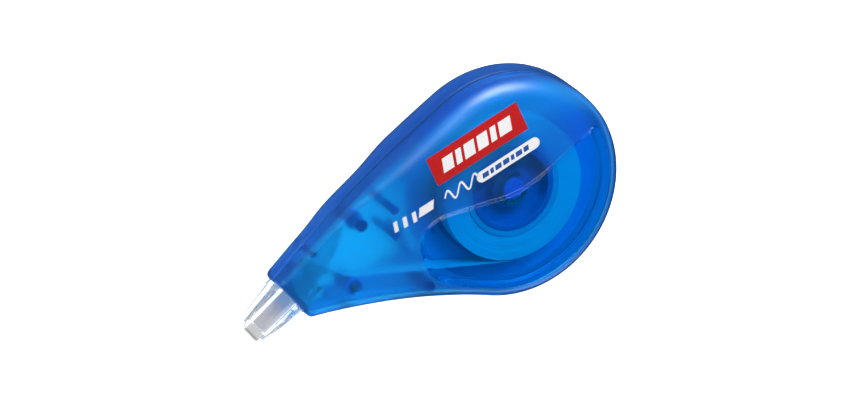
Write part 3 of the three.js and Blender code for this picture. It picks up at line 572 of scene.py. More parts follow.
def side_curve(head_angle, corner):
    """Y of a side at each X: tangent to the head circle and at the corner's slope by the nose."""
    angle = math.radians(head_angle)
    start_x = HEAD_X + HEAD_RADIUS * math.cos(angle)
    start_y = HEAD_Y + HEAD_RADIUS * math.sin(angle)
    start_slope = -math.cos(angle) / math.sin(angle)
    run = start_x - corner["x"]

    def height(x):
        s = (start_x - x) / run
        to_corner = s * s * (3 - 2 * s)
        leave = s * (1 - s) * (1 - s)
        arrive = s * s * (s - 1)
        bends = -run * (start_slope * leave + corner["slope"] * arrive)
        return start_y * (1 - to_corner) + corner["y"] * to_corner + bends

    return height


def unit(x, y):
    return np.array((x, y)) / math.hypot(x, y)


upper_corner = np.array((NOSE_UPPER["x"], NOSE_UPPER["y"]))
lower_corner = np.array((NOSE_LOWER["x"], NOSE_LOWER["y"]))
nose_along = unit(*(lower_corner - upper_corner))
tip_axis = np.array((nose_along[1], -nose_along[0]))
tip_across = -nose_along
nose_centre = (upper_corner + lower_corner) / 2
upper_normal = unit(-NOSE_UPPER["slope"], 1)
lower_normal = unit(NOSE_LOWER["slope"], -1)


def head_columns(step_degrees):
    count = round((HEAD_UPPER_ANGLE - HEAD_LOWER_ANGLE) / step_degrees)
    turns = np.radians(np.linspace(HEAD_LOWER_ANGLE, HEAD_UPPER_ANGLE, count + 1))
    out = np.column_stack([np.cos(turns), np.sin(turns)])
    return np.column_stack([np.array((HEAD_X, HEAD_Y)) + HEAD_RADIUS * out, -out])


def side_columns(head_angle, corner, last_x, sign, spacing):
    """Columns along a side, from the head to the nose."""
    side = side_curve(head_angle, corner)
    first_x = HEAD_X + HEAD_RADIUS * math.cos(math.radians(head_angle)) - spacing
    x = np.arange(first_x, last_x, -spacing)
    slope = (side(x + 0.01) - side(x - 0.01)) / 0.02
    out = sign * np.column_stack([-slope, np.ones_like(x)]) / np.hypot(1, slope)[:, None]
    return np.column_stack([x, side(x), -out])


def corner_columns(corner, before, after, divisions):
    mitre = -(before + after) / (1 + before @ after)
    start = math.atan2(before[1], before[0])
    sweep = math.acos(before @ after)
    turns = start + sweep * np.linspace(0, 1, divisions + 1)
    out = np.column_stack([np.cos(turns), np.sin(turns)])
    outer = corner + mitre * NOSE_CORNER_RADIUS + out * NOSE_CORNER_RADIUS
    inner = corner + mitre * MITRE_DEPTH + out * MITRE_SPREAD
    return np.column_stack([outer, (inner - outer) / MITRE_DEPTH])


def nose_columns(count):
    shares = np.linspace(0.27, 0.82, count)[:, None]
    places = upper_corner * (1 - shares) + lower_corner * shares
    return np.column_stack([places, np.tile(-tip_axis, (count, 1))])


# Each column is a point of the widest outline and its move for each millimetre inwards.
LAST_UPPER_X, LAST_LOWER_X = -51.3, -48.6
columns = np.vstack([
    head_columns(1.25),
    side_columns(HEAD_UPPER_ANGLE, NOSE_UPPER, LAST_UPPER_X, 1, 0.6),
    corner_columns(upper_corner, upper_normal, tip_axis, 8),
    nose_columns(14),
    corner_columns(lower_corner, tip_axis, lower_normal, 8),
    side_columns(HEAD_LOWER_ANGLE, NOSE_LOWER, LAST_LOWER_X, -1, 0.6)[::-1],
])
outline, inward = columns[:, :2], columns[:, 2:]


def back_face(x):
    slope = NOSE_FLOOR_Z / (BACK_FOLDS[0] - BACK_FOLDS[1])
    start = soft_ramp(BACK_FOLDS[0] - x, FOLD_SOFTNESS)
    stop = soft_ramp(BACK_FOLDS[1] - x, FOLD_SOFTNESS)
    return slope * (start - stop)


def front_face(x):
    slope = (THICKNESS - NOSE_FRONT_Z) / (FRONT_FOLD - NOSE_UPPER["x"])
    return THICKNESS - slope * soft_ramp(FRONT_FOLD - x, FOLD_SOFTNESS)


def shoulder_radius(shoulder):
    """The edge radius at each column, wider on the label's side of the head."""
    from_head = outline - (HEAD_X, HEAD_Y)
    turn = np.degrees(np.arctan2(from_head[:, 1], from_head[:, 0]))
    label = smoothstep(turn, *LABEL_SIDE)
    head = shoulder["window"] + (shoulder["label"] - shoulder["window"]) * label
    share = smoothstep(outline[:, 0], *shoulder["blend"])
    return shoulder["nose"] + (head - shoulder["nose"]) * share


# ---------------------------------------------------------------- window step

def spline(points, steps):
    """A Catmull-Rom curve through the points."""
    points = np.array(points, float)
    result = []
    for i in range(len(points) - 1):
        p0, p1 = points[max(i - 1, 0)], points[i]
        p2, p3 = points[i + 1], points[min(i + 2, len(points) - 1)]
        for t in np.linspace(0, 1, steps, endpoint=False):
            bend = (2 * p0 - 5 * p1 + 4 * p2 - p3) * t * t + (3 * p1 - p0 - 3 * p2 + p3) * t ** 3
            result.append(p1 + ((p2 - p0) * t + bend) / 2)
    return np.array([*result, points[-1]])


window_edge = np.vstack([WINDOW_EDGE[0], spline(WINDOW_EDGE[1:-1], 16), WINDOW_EDGE[-1]])


def window_distance(flat):
    """How far each point lies inside the window's edge, negative outside it."""
    best = np.full(len(flat), np.inf)
    signed = np.zeros(len(flat))
    for start, end in zip(window_edge[:-1], window_edge[1:]):
        step = end - start
        share = np.clip((flat - start) @ step / (step @ step), 0, 1)
        offset = flat - (start + share[:, None] * step)
        distance = np.hypot(*offset.T)
        right = offset[:, 0] * step[1] - offset[:, 1] * step[0]
        nearer = distance < best
        best[nearer] = distance[nearer]
        signed[nearer] = (distance * np.sign(right))[nearer]
    return signed


def inside_polygon(points, polygon):
    """Which points lie inside a closed polygon."""
    x, y = points.T
    odd = np.zeros(len(points), bool)
    for (x1, y1), (x2, y2) in zip(polygon, np.roll(polygon, -1, axis=0)):
        if y1 == y2:
            continue
        crosses = (y1 > y) != (y2 > y)
        odd ^= crosses & (x < (x2 - x1) * (y - y1) / (y2 - y1) + x1)
    return odd


def distance_to(points, others):
    """The distance from each point to the nearest of the others."""
    return np.array([np.hypot(*(others - p).T).min() for p in points])


front_edge = outline + inward * shoulder_radius(FRONT_SHOULDER)[:, None]


def shape_front(points):
    """Domes the label's side and sinks the window to its own slanted surface."""
    inside = window_distance(points[:, :2])
    from_edge = np.clip(-inside / LABEL_REACH, 0, 1)
    on_head = smoothstep(points[:, 0], FRONT_FOLD, 0)
    height_share = (points[:, 2] - SEAM_Z) / (THICKNESS - SEAM_Z)
    points[:, 2] -= LABEL_DOME * on_head * from_edge ** 2 * np.clip(height_share, 0, 1)
    floor = THICKNESS - WINDOW_DEPTH - points[:, 1] * WINDOW_DEPTH / WINDOW_REACH
    from_edge = distance_to(points[:, :2], front_edge) * inside_polygon(points[:, :2], front_edge)
    sunk = smoothstep(inside, 0, STEP_WIDTH)
    sunk *= smoothstep(from_edge, RIM_LEDGE, RIM_LEDGE + STEP_WIDTH)
    points[:, 2] -= sunk * soft_ramp(points[:, 2] - floor, CREASE)
    return points


# ---------------------------------------------------------------- covers

SHOULDER_STEPS = 12
RIM_STEPS = 3
RIM_ROUND = 0.16
REVEAL = {"depth": 0.34, "height": 0.75, "lip": 0.06}

# The places of the materials in each cover's list.
SIDE_SKIN, SMOOTH_SKIN, FACE_SKIN, POST_SKIN = range(4)

# How the flat faces are meshed: finer along the window's step and by the rounded edge.
OUTER_SPACING, INNER_SPACING = 0.9, 1.8
STEP_ROWS = {"before": 0.6, "after": 0.7, "apart": 0.22, "along": 0.45}
RIM_ROWS = {"after": 0.4, "apart": 0.3, "from_step": 0.8}
EDGE_CLEARANCE = 0.3
WINDOW_MARGIN = 0.1  # faces further inside the window's edge than this are polished


def ring(inset, height):
    """The outline moved inwards by an inset, at a height given for each X."""
    flat = outline + inward * np.reshape(inset, (-1, 1))
    return np.column_stack([flat, height(flat[:, 0])])


def level_ring(inset, z):
    return ring(np.full(len(outline), inset), lambda x: np.full_like(x, z))


def shoulder_rings(face, radius, inset, depth, into_case):
    """Rings from the edge of a flat face round its shoulder, an inset inside the outline and
    a depth under the face."""
    rings = []
    for turn in np.linspace(0, math.pi / 2, SHOULDER_STEPS + 1):
        flat, deep = 1 - math.sin(turn), 1 - math.cos(turn)
        rings.append(ring(
            inset + radius * flat,
            lambda x: face(x) + into_case * (depth + radius * deep),
        ))
    return rings


def rim_rings(cover):
    """Rings round the rim, with a small reveal on the cover that has the window."""
    into_case, rim_z = cover["into_case"], cover["rim_z"]
    steps = []
    start = 0.0
    if cover["windowed"]:
        start, height = REVEAL["depth"], REVEAL["height"]
        steps = [(0, height + 0.1), (REVEAL["lip"], height + 0.03), (start, height)]
    for turn in np.linspace(0, math.pi / 2, RIM_STEPS + 1):
        inset = start + RIM_ROUND * (1 - math.cos(turn))
        steps.append((inset, RIM_ROUND * (1 - math.sin(turn))))
    rings = [level_ring(inset, rim_z - into_case * up) for inset, up in steps]
    return [*rings, level_ring(WALL, rim_z)]


def cover_rings(cover):
    """Rings of a cover's outer face and side, of its rim, and of its inner face."""
    face, into_case = cover["face"], cover["into_case"]
    radius = shoulder_radius(cover["shoulder"])
    inner_radius = np.maximum(radius - WALL, INNER_RADIUS_MIN)
    outside = shoulder_rings(face, radius, 0, 0, into_case)
    inside = shoulder_rings(face, inner_radius, WALL, cover["thickness"], into_case)
    return outside, rim_rings(cover), inside[::-1]


def lattice(boundary, spacing):
    """Evenly spread points inside a boundary, clear of its edge."""
    low, high = boundary.min(0), boundary.max(0)
    rows = np.arange(low[1], high[1], spacing * 0.866)
    points = []
    for i, y in enumerate(rows):
        for x in np.arange(low[0] + (i % 2) * spacing / 2, high[0], spacing):
            points.append((x, y))
    points = np.array(points)
    points = points[inside_polygon(points, boundary)]
    return points[distance_to(points, boundary) > spacing * 0.5]


def edge_rows(boundary, offsets, spacing):
    """Rows of points beside the window's edge, so that the step has clean lines."""
    steps = np.hypot(*np.diff(window_edge, axis=0).T)
    travelled = np.concatenate([[0], np.cumsum(steps)])
    places = np.arange(0, travelled[-1], spacing)
    line = np.column_stack([np.interp(places, travelled, window_edge[:, k]) for k in (0, 1)])
    heading = np.gradient(line, axis=0)
    heading /= np.hypot(*heading.T)[:, None]
    right = np.column_stack([heading[:, 1], -heading[:, 0]])
    rows = np.vstack([line + right * offset for offset in offsets])
    kept = inside_polygon(rows, boundary)
    rows = rows[kept]
    return rows[distance_to(rows, boundary) > EDGE_CLEARANCE]


def rim_rows(boundary, radius, offsets):
    """Rows of points beside the case's rounded edge, where the window's floor runs up to it."""
    rows = np.vstack([outline + inward * (radius + offset)[:, None] for offset in offsets])
    in_window = window_distance(rows) > STEP_WIDTH + RIM_ROWS["from_step"]
    return rows[inside_polygon(rows, boundary) & in_window]


def cap(boundary, extra):
    """Triangles over a ring: indices below the ring's size are the ring's own points."""
    flat = [Vector(p) for p in np.vstack([boundary, extra])]
    loop = [list(range(len(boundary)))]
    _, _, faces, originals, _, _ = delaunay_2d_cdt(flat, [], loop, 1, 1e-6)
    return [tuple(originals[i][0] for i in face) for face in faces]


def outer_points(boundary, cover):
    """Points inside the edge of a cover's flat outer face."""
    even = lattice(boundary, OUTER_SPACING)
    if not cover["windowed"]:
        return even
    step_offsets = np.arange(
        -STEP_ROWS["before"], STEP_WIDTH + STEP_ROWS["after"], STEP_ROWS["apart"]
    )
    rim_end = RIM_LEDGE + STEP_WIDTH + RIM_ROWS["after"]
    rim_offsets = np.arange(RIM_LEDGE, rim_end, RIM_ROWS["apart"])
    inside = window_distance(even)
    clear = np.abs(inside - STEP_WIDTH / 2) > STEP_WIDTH / 2 + OUTER_SPACING
    by_rim = distance_to(even, boundary) < rim_offsets[-1] + RIM_ROWS["apart"]
    clear &= ~(by_rim & (inside > STEP_WIDTH + RIM_ROWS["from_step"]))
    return np.vstack([
        even[clear],
        edge_rows(boundary, step_offsets, STEP_ROWS["along"]),
        rim_rows(boundary, shoulder_radius(cover["shoulder"]), rim_offsets),
    ])


def flat_faces(boundary, extra, edge_start, extra_start):
    """The triangles of a flat face, as places in the whole cover's list of points."""
    size = len(boundary)
    return [
        tuple(edge_start + i if i < size else extra_start + i - size for i in triangle)
        for triangle in cap(boundary, extra)
    ]


def cover_shell(name, cover):
    """One cover as a closed shell, with the place of each face's material. Its lining and
    the window are smooth."""
    outside, rim, inside = cover_rings(cover)
    rings = [*outside, *rim, *inside]
    size = len(outline)
    outer_edge, inner_edge = rings[0][:, :2], rings[-1][:, :2]
    outer_flat = outer_points(outer_edge, cover)
    inner_flat = lattice(inner_edge, INNER_SPACING)
    inner_z = cover["face"](inner_flat[:, 0]) + cover["into_case"] * cover["thickness"]
    points = np.vstack([
        *rings,
        np.column_stack([outer_flat, cover["face"](outer_flat[:, 0])]),
        np.column_stack([inner_flat, inner_z]),
    ])
    ring_count = len(rings) * size
    inner_start = ring_count + len(outer_flat)
    outer_count = (len(outside) + len(rim) - 1) * size  # both the points and the faces
    if cover["windowed"]:
        for spot in (slice(outer_count), slice(ring_count, inner_start)):
            points[spot] = shape_front(points[spot])
    front = flat_faces(outer_edge, outer_flat, 0, ring_count)
    back = flat_faces(inner_edge, inner_flat, ring_count - size, inner_start)
    sides = quads(len(rings), size)
    faces = sides[:outer_count] + front + sides[outer_count:] + back
    finish = np.full(len(faces), SMOOTH_SKIN)
    finish[:outer_count] = SIDE_SKIN
    finish[outer_count:outer_count + len(front)] = face_finish(points, front, cover)
    return mesh_object(name, points, faces, finish.tolist())


def face_finish(points, faces, cover):
    """The material place of each face of the outer flat: smooth inside the window."""
    if not cover["windowed"]:
        return FACE_SKIN
    centres = np.array([points[list(f)].mean(0) for f in faces])[:, :2]
    return np.where(window_distance(centres) > WINDOW_MARGIN, SMOOTH_SKIN, FACE_SKIN)


def at_tip(along, across):
    """A place given along the tip's axis from the nose's middle, and across it."""
    return tuple(nose_centre + tip_axis * along + tip_across * across)


NOSE_OPENING = {"inside": -3, "outside": 2, "half_width": 4.2, "low": 5.8, "high": 11.8}


def nose_opening():
    """The hole in the nose that the tip plugs into."""
    inside, outside, half_width = (NOSE_OPENING[k] for k in ("inside", "outside", "half_width"))
    corners = [
        at_tip(inside, -half_width), at_tip(outside, -half_width),
        at_tip(outside, half_width), at_tip(inside, half_width),
    ]
    return prism("nose_opening", corners, NOSE_OPENING["low"], NOSE_OPENING["high"])


def pin_of(roller):
    """The centre of a guide roller and its half height."""
    low, high = box(roller)
    return (low + high) / 2, (high.z - low.z) / 2


POST_ROOT = 0.7  # how far under the outer face the posts start, inside the wall
RIB_ROOT = 0.4
CORE_INSET = 0.35
CORE_OVER = 0.1  # how far the core reaches past the rim
SOCKET_GAP = 0.2  # between a roller and the ends of its pin's sockets
SOCKET_BORE, SOCKET_DEPTH = 0.75, 0.6
SEAT = {"inner": 4.9, "outer": 5.7, "high": 1.9}  # round the foot of the spindle

FRONT = {
    "face": front_face, "shoulder": FRONT_SHOULDER, "thickness": ROOF,
    "rim_z": SEAM_Z + SEAM_GAP / 2, "into_case": -1, "windowed": True,
    "skins": [FRONT_SKIN, POLISHED, FRONT_SKIN, POST_BLUE],
}
BACK = {
    "face": back_face, "shoulder": BACK_SHOULDER, "thickness": WALL,
    "rim_z": SEAM_Z - SEAM_GAP / 2, "into_case": 1, "windowed": False,
    "skins": [FROSTED, POLISHED, BACK_FACE, POST_BLUE],
}


def add_inside(piece, tool):
    """Joins a post, a rib or a seat to a cover, in the posts' own denser blue."""
    tool.data.polygons.foreach_set("material_index", [POST_SKIN] * len(tool.data.polygons))
    give_materials(tool, piece.data.materials[:])
    combine(piece, tool, "UNION")


def height_at(face, x):
    return float(face(np.array([x]))[0])


def socket_ends(into_case):
    """The middle of each roller, and the height where a cover's socket for its pin ends."""
    for roller in ("lower_guide_roller", "upper_guide_roller"):
        centre, half = pin_of(roller)
        yield centre, centre.z - into_case * (half + SOCKET_GAP)


def add_posts(piece, cover):
    """The snap posts and the pin sockets that stand up from a cover's wall. Each is cut to
    the cover's core, so that none of it shows outside."""
    into_case = cover["into_case"]
    spots = [(*snap_post, cover["rim_z"]) for snap_post in SNAP_POSTS]
    for centre, end in socket_ends(into_case):
        spots.append((centre.x, centre.y, PIN_SOCKET_RADIUS, end))
    core = cover_core(cover)
    for x, y, radius, end in spots:
        start = height_at(cover["face"], x) + into_case * POST_ROOT
        tool = post(x, y, radius, min(start, end), max(start, end))
        combine(tool, core.copy(), "INTERSECT")
        add_inside(piece, tool)
    bpy.data.objects.remove(core)


def cover_core(cover):
    """All that lies inside a cover's outer skin, as a closed shape."""
    radius = shoulder_radius(cover["shoulder"])
    into_case = cover["into_case"]
    rings = shoulder_rings(cover["face"], radius, CORE_INSET, CORE_INSET, into_case)
    rings.append(level_ring(CORE_INSET, cover["rim_z"] + into_case * CORE_OVER))
    faces = quads(len(rings), len(outline))
    no_points = np.empty((0, 2))
    for place in (0, len(rings) - 1):
        faces += flat_faces(rings[place][:, :2], no_points, place * len(outline), 0)
    return mesh_object("cover_core", np.vstack(rings), faces)


def bore_sockets(piece, into_case):
    for centre, end in socket_ends(into_case):
        tool = post(centre.x, centre.y, SOCKET_BORE, end - SOCKET_DEPTH, end + SOCKET_DEPTH)
        combine(piece, tool, "DIFFERENCE")


def make_cover(name, cover, tools=()):
    """A cover with its nose opening, posts and sockets, and other tools joined inside."""
    piece = cover_shell(name + "_shell", cover)
    give_materials(piece, cover["skins"])
    combine(piece, nose_opening(), "DIFFERENCE")
    add_posts(piece, cover)
    bore_sockets(piece, cover["into_case"])
    for tool in tools:
        add_inside(piece, tool)
    return finish_piece(piece, "case", "case_plastic", cover["skins"], [name])


def back_tools():
    """The rib beside the reels and the seat round the foot of the spindle."""
    band = arc_band(REEL_RIB["inner"], REEL_RIB["outer"], REEL_RIB["from"], REEL_RIB["to"])
    rib_root = height_at(back_face, -REEL_RIB["outer"]) + RIB_ROOT
    seat_corners = ring_corners(SEAT["inner"], SEAT["outer"], POST_ROOT, SEAT["high"])
    return [prism("rib", band, rib_root, BACK["rim_z"]), turned("seat", seat_corners)]


# ---------------------------------------------------------------- reels

HUB_BORE, SLEEVE = 2.5, 4.2
DRUM_INNER, DRUM_OUTER, DRUM_FLANGE = 15.6, 16.8, 18.9
DRUM_Z = {"flange": 1.75, "sleeve": 2.0, "film": 2.4, "web": 5.8, "top": 6.9}
HUB_INNER, HUB_OUTER, HUB_FLANGE = 8.0, 9.2, 16.6
HUB_Z = {"sleeve": 7.85, "flange": 8.05, "core": 8.55, "web": 9.6, "web_top": 10.4, "top": 13.1}
SLOTS = {"inner": 17.6, "outer": 18.4, "starts": (0, 120, 240), "sweep": 70}
CORE_BORE, TAPE_BORE, FILM_BORE = 9.3, 10.6, 16.9
CLUTCH = (5.9, 7.5, 7.8, 9.5)  # inner and outer radius, lowest and highest z
ROUND_FINE = 160  # facets round the pieces that show


def make_take_up_reel():
    z = DRUM_Z
    drum = turned("take_up_drum_fine", [
        (HUB_BORE, z["sleeve"]), (SLEEVE, z["sleeve"]), (SLEEVE, z["web"]),
        (DRUM_INNER, z["web"]), (DRUM_INNER, z["flange"]), (DRUM_FLANGE, z["flange"]),
        (DRUM_FLANGE, z["film"]), (DRUM_OUTER, z["film"]), (DRUM_OUTER, z["top"]),
        (HUB_BORE, z["top"]),
    ])
    finish_piece(drum, "take_up_reel", "dark_plastic", [DISC_BLUE], ["take_up_drum"])

    disc_low, disc_high = box("take_up_disc")
    corners = ring_corners(HUB_BORE, disc_high.x, disc_low.z, disc_high.z)
    disc = turned("take_up_disc_fine", corners, 0.15, ROUND_FINE)
    for start in SLOTS["starts"]:
        band = arc_band(SLOTS["inner"], SLOTS["outer"], start, start + SLOTS["sweep"])
        combine(disc, prism("slot", band, disc_low.z - 1, disc_high.z + 1), "DIFFERENCE")
    finish_piece(disc, "take_up_reel", "dark_plastic", [DISC_BLUE], ["take_up_disc"])

    film_low, film_high = box("take_up_film")
    film = wound_ring("take_up_film_fine", FILM_BORE, film_high.x, film_low.z, film_high.z, 5)
    finish_piece(film, "take_up_reel", "carrier_film", [FILM_WOUND], ["take_up_film"])


def make_supply_reel():
    z = HUB_Z
    hub = turned("supply_hub_fine", [
        (HUB_BORE, z["sleeve"]), (SLEEVE, z["sleeve"]), (SLEEVE, z["web"]),
        (HUB_INNER, z["web"]), (HUB_INNER, z["flange"]), (HUB_FLANGE, z["flange"]),
        (HUB_FLANGE, z["core"]), (HUB_OUTER, z["core"]), (HUB_OUTER, z["top"]),
        (HUB_INNER, z["top"]), (HUB_INNER, z["web_top"]), (HUB_BORE, z["web_top"]),
    ], 0.15)
    finish_piece(hub, "supply_reel", "indigo_plastic", [HUB_INDIGO], ["supply_hub"])

    core_low, core_high = box("supply_core")
    core_corners = ring_corners(CORE_BORE, core_high.x, core_low.z, core_high.z)
    core = turned("supply_core_fine", core_corners)
    finish_piece(core, "supply_reel", "white_plastic", [CORE_WHITE], ["supply_core"])

    roll_low, roll_high = box("supply_tape_roll")
    roll = wound_ring("supply_tape_fine", TAPE_BORE, roll_high.x, roll_low.z, roll_high.z, 11)
    finish_piece(roll, "supply_reel", "correction_tape", [TAPE_WHITE], ["supply_tape_roll"])

    clutch = turned("clutch_ring_fine", ring_corners(*CLUTCH), 0.3)
    finish_piece(clutch, "supply_reel", "rubber", [RUBBER], ["clutch_ring"])


LAYER_STEP = 0.17  # width of each visible band of layers
LAYER_PLAY = 0.05


def wound_ring(name, inner, outer, low, high, seed):
    """A wound ring whose layers stand a little uneven on both faces."""
    pick = random.Random(seed)
    layers = max(3, round((outer - inner) / LAYER_STEP))
    radii = [inner + (outer - inner) * i / layers for i in range(layers + 1)]
    front = [(r, high - pick.uniform(0, LAYER_PLAY)) for r in radii]
    back = [(r, low + pick.uniform(0, LAYER_PLAY)) for r in reversed(radii)]
    return turned(name, [*back, *front], 0, ROUND_FINE)


SPINDLE_RADIUS, GROOVE_RADIUS, FOOT_RADIUS = 2.4, 1.9, 4.5
FOOT_LOW, FOOT_HIGH = 1.3, 1.7
SPINDLE_TOP, SPINDLE_CHAMFER = 13.3, 0.2
GROOVE_PLAY = 0.05


def make_spindle():
    clip_low, clip_high = box("spindle_clip")
    groove_low, groove_high = clip_low.z - GROOVE_PLAY, clip_high.z + GROOVE_PLAY
    spindle = turned("reel_spindle_fine", [
        (0, FOOT_LOW), (FOOT_RADIUS, FOOT_LOW), (FOOT_RADIUS, FOOT_HIGH),
        (SPINDLE_RADIUS, FOOT_HIGH), (SPINDLE_RADIUS, groove_low), (GROOVE_RADIUS, groove_low),
        (GROOVE_RADIUS, groove_high), (SPINDLE_RADIUS, groove_high),
        (SPINDLE_RADIUS, SPINDLE_TOP - SPINDLE_CHAMFER), (GROOVE_RADIUS, SPINDLE_TOP),
        (0, SPINDLE_TOP),
    ], 0.08, 64)
    finish_piece(spindle, "case", "indigo_plastic", [SPINDLE_INDIGO], ["reel_spindle"])
    for node, slot, material in (
        ("back_thrust_washer", "natural_plastic", NATURAL),
        ("front_thrust_washer", "indigo_plastic", HUB_INDIGO),
    ):
        low, high = box(node)
        washer = turned(node + "_fine", ring_corners(HUB_BORE, high.x, low.z, high.z), 0.05)
        finish_piece(washer, "case", slot, [material], [node])


def make_spring():
    """The clutch spring as a round wire on a helix."""
    radius, turns, wire, steps, sides = 3.3, 2.5, 0.2, 160, 12
    low, high = box("clutch_spring")
    low_z, high_z = low.z + wire, high.z - wire
    points = []
    for i in range(steps + 1):
        turn = 2 * math.pi * turns * i / steps
        out = Vector((math.cos(turn), math.sin(turn), 0))
        centre = out * radius + Vector((0, 0, low_z + (high_z - low_z) * i / steps))
        for k in range(sides):
            round_wire = 2 * math.pi * k / sides
            points.append(centre + out * wire * math.cos(round_wire)
                          + Vector((0, 0, wire * math.sin(round_wire))))
    faces = quads(steps + 1, sides)
    last = steps * sides
    faces += [tuple(range(sides)), tuple(range(last, last + sides))]
    spring = mesh_object("clutch_spring_fine", points, faces)
    finish_piece(spring, "supply_reel", "spring_steel", [STEEL], ["clutch_spring"])


ROLLER_BORE, ROLLER_RADIUS, ROLLER_LIP, LIP_HEIGHT = 0.8, 1.5, 1.9, 0.4
PIN_RADIUS = 0.7


def make_rollers():
    for name in ("lower", "upper"):
        roller_node, pin_node = name + "_guide_roller", name + "_roller_pin"
        centre, half = pin_of(roller_node)
        low, high = centre.z - half, centre.z + half
        body = turned(roller_node + "_fine", [
            (ROLLER_BORE, low), (ROLLER_LIP, low), (ROLLER_LIP, low + LIP_HEIGHT),
            (ROLLER_RADIUS, low + LIP_HEIGHT), (ROLLER_RADIUS, high - LIP_HEIGHT),
            (ROLLER_LIP, high - LIP_HEIGHT), (ROLLER_LIP, high), (ROLLER_BORE, high),
        ], 0.1, 48, centre.xy)
        finish_piece(body, name + "_roller", "indigo_plastic", [SPINDLE_INDIGO], [roller_node])
        pin_low, pin_high = box(pin_node)
        corners = ring_corners(0, PIN_RADIUS, pin_low.z, pin_high.z)
        pin = turned(pin_node + "_fine", corners, 0.15, 32, centre.xy)
        finish_piece(pin, "case", "spring_steel", [STEEL], [pin_node])


def make_small_parts():
    """Pieces whose CAD shape is right, with their edges rounded off."""
    for node, body, slot, material, bevel in (
        ("applicator_tip", "case", "tip_plastic", CLEAR, 0.14),
        ("spindle_clip", "case", "spring_steel", STEEL, 0.06),
        ("anti_reverse_ring", "case", "natural_plastic", NATURAL, 0.06),
        ("pawl_plate", "take_up_reel", "natural_plastic", NATURAL, 0.06),
    ):
        finish_piece(refined(node, bevel), body, slot, [material], [node])


# ---------------------------------------------------------------- ribbons

TIP_Z = 8.8
TIP_LENGTH = 10.8
TIP_ROOT = -6
BLADE_ROOT, BLADE_END = 1.1, 0.4
ON_BLADE_START = -6.6
ON_BLADE_END = TIP_LENGTH - BLADE_END
RIBBON_JOIN = ON_BLADE_END - 1.5  # the fresh tape turns into used film here
JOIN_GAP = 0.25  # from the join to the end of either run
FINENESS = 5  # stations here for each of the plain model's
CLEAR_OF_FLANGE = 0.2  # share of the way to the lower roller where the tape stays level
UNDER_DISC = 0.52  # share of the way from the upper roller where the film reaches its height


def tangent_between(start, end):
    """The straight stretch between two circles (x, y, radius, side): a centre on the left of
    the direction of travel has side 1, and one on the right has side -1."""
    step = np.array(end[:2]) - np.array(start[:2])
    reach = end[3] * end[2] - start[3] * start[2]
    heading = math.atan2(step[1], step[0]) - math.asin(reach / np.hypot(*step))
    left = np.array((-math.sin(heading), math.cos(heading)))
    return [np.array(c[:2]) - left * c[3] * c[2] for c in (start, end)]


def between(start, end, z_range, twist_range, steps):
    """Stations (centre, twist) along a straight stretch."""
    stations = []
    for i in range(steps):
        share = i / steps
        eased = share * share * (3 - 2 * share)
        flat = start * (1 - share) + end * share
        z = z_range[0] + (z_range[1] - z_range[0]) * eased
        stations.append((Vector((*flat, z)), twist_range[0]
                         + (twist_range[1] - twist_range[0]) * eased))
    return stations


def ribbon(name, stations):
    """A thin ribbon through its stations. Twist 0 and 2 are upright, and 1 lies level."""
    points = []
    level = Vector((*tip_across, 0))
    for i, (centre, twist) in enumerate(stations):
        travel = (stations[min(i + 1, len(stations) - 1)][0] - stations[max(i - 1, 0)][0])
        travel.normalize()
        turn = math.pi / 2 * twist
        width = level * math.sin(turn) + Vector((0, 0, math.cos(turn)))
        across = (width - travel * width.dot(travel)).normalized() * TAPE_WIDTH / 2
        through = travel.cross(across).normalized() * RIBBON_THICKNESS / 2
        for a, t in ((1, 1), (-1, 1), (-1, -1), (1, -1)):
            points.append(centre + across * a + through * t)
    last = (len(stations) - 1) * 4
    faces = [*quads(len(stations), 4), (0, 1, 2, 3), (last, last + 3, last + 2, last + 1)]
    return mesh_object(name, points, faces)


def blade_clear(distance):
    share = (distance - TIP_ROOT) / (TIP_LENGTH - BLADE_END - TIP_ROOT)
    return BLADE_ROOT + (BLADE_END - BLADE_ROOT) * share + RIBBON_CLEARANCE


def reel_circle(node):
    return (0, 0, box(node)[1].x + RIBBON_CLEARANCE, -1)


def roller_circle(roller, side):
    return (roller.x, roller.y, ROLLER_RADIUS + RIBBON_CLEARANCE, side)


def make_feed_run():
    """Fresh tape from the supply roll round the lower roller to the blade, and round its end."""
    tape_z = box("supply_tape_roll")[0].z + TAPE_WIDTH / 2
    lower, _ = pin_of("lower_guide_roller")
    circle = roller_circle(lower, 1)
    tip_root = np.array(at_tip(ON_BLADE_START, 0))
    tip_end = np.array(at_tip(ON_BLADE_END, 0))
    at_root, at_end = blade_clear(ON_BLADE_START), blade_clear(ON_BLADE_END)
    leave_roll, meet_lower = tangent_between(reel_circle("supply_tape_roll"), circle)
    leave_lower, _ = tangent_between(circle, (*tip_root, 0, 1))
    clear = leave_roll * (1 - CLEAR_OF_FLANGE) + meet_lower * CLEAR_OF_FLANGE
    stations = [
        *between(leave_roll, clear, (tape_z, tape_z), (0, 0), 2),
        *between(clear, meet_lower, (tape_z, lower.z), (0, 0), 4 * FINENESS),
        *between(leave_lower, tip_root, (lower.z, TIP_Z - at_root), (0, 1), 8 * FINENESS),
        *between(tip_root, tip_end, (TIP_Z - at_root, TIP_Z - at_end), (1, 1), 4),
    ]
    wrap_steps = 6 * FINENESS
    for i in range(wrap_steps + 1):
        turn = math.pi * (i / wrap_steps - 0.5)
        flat = at_tip(ON_BLADE_END + at_end * math.cos(turn), 0)
        stations.append((Vector((*flat, TIP_Z + at_end * math.sin(turn))), 1))
    join = RIBBON_JOIN + JOIN_GAP
    stations.append((Vector((*at_tip(join, 0), TIP_Z + blade_clear(join))), 1))
    feed = ribbon("feed_tape_fine", stations)
    finish_piece(feed, "case", "correction_tape", [RIBBON_TAPE], ["feed_tape_run"])


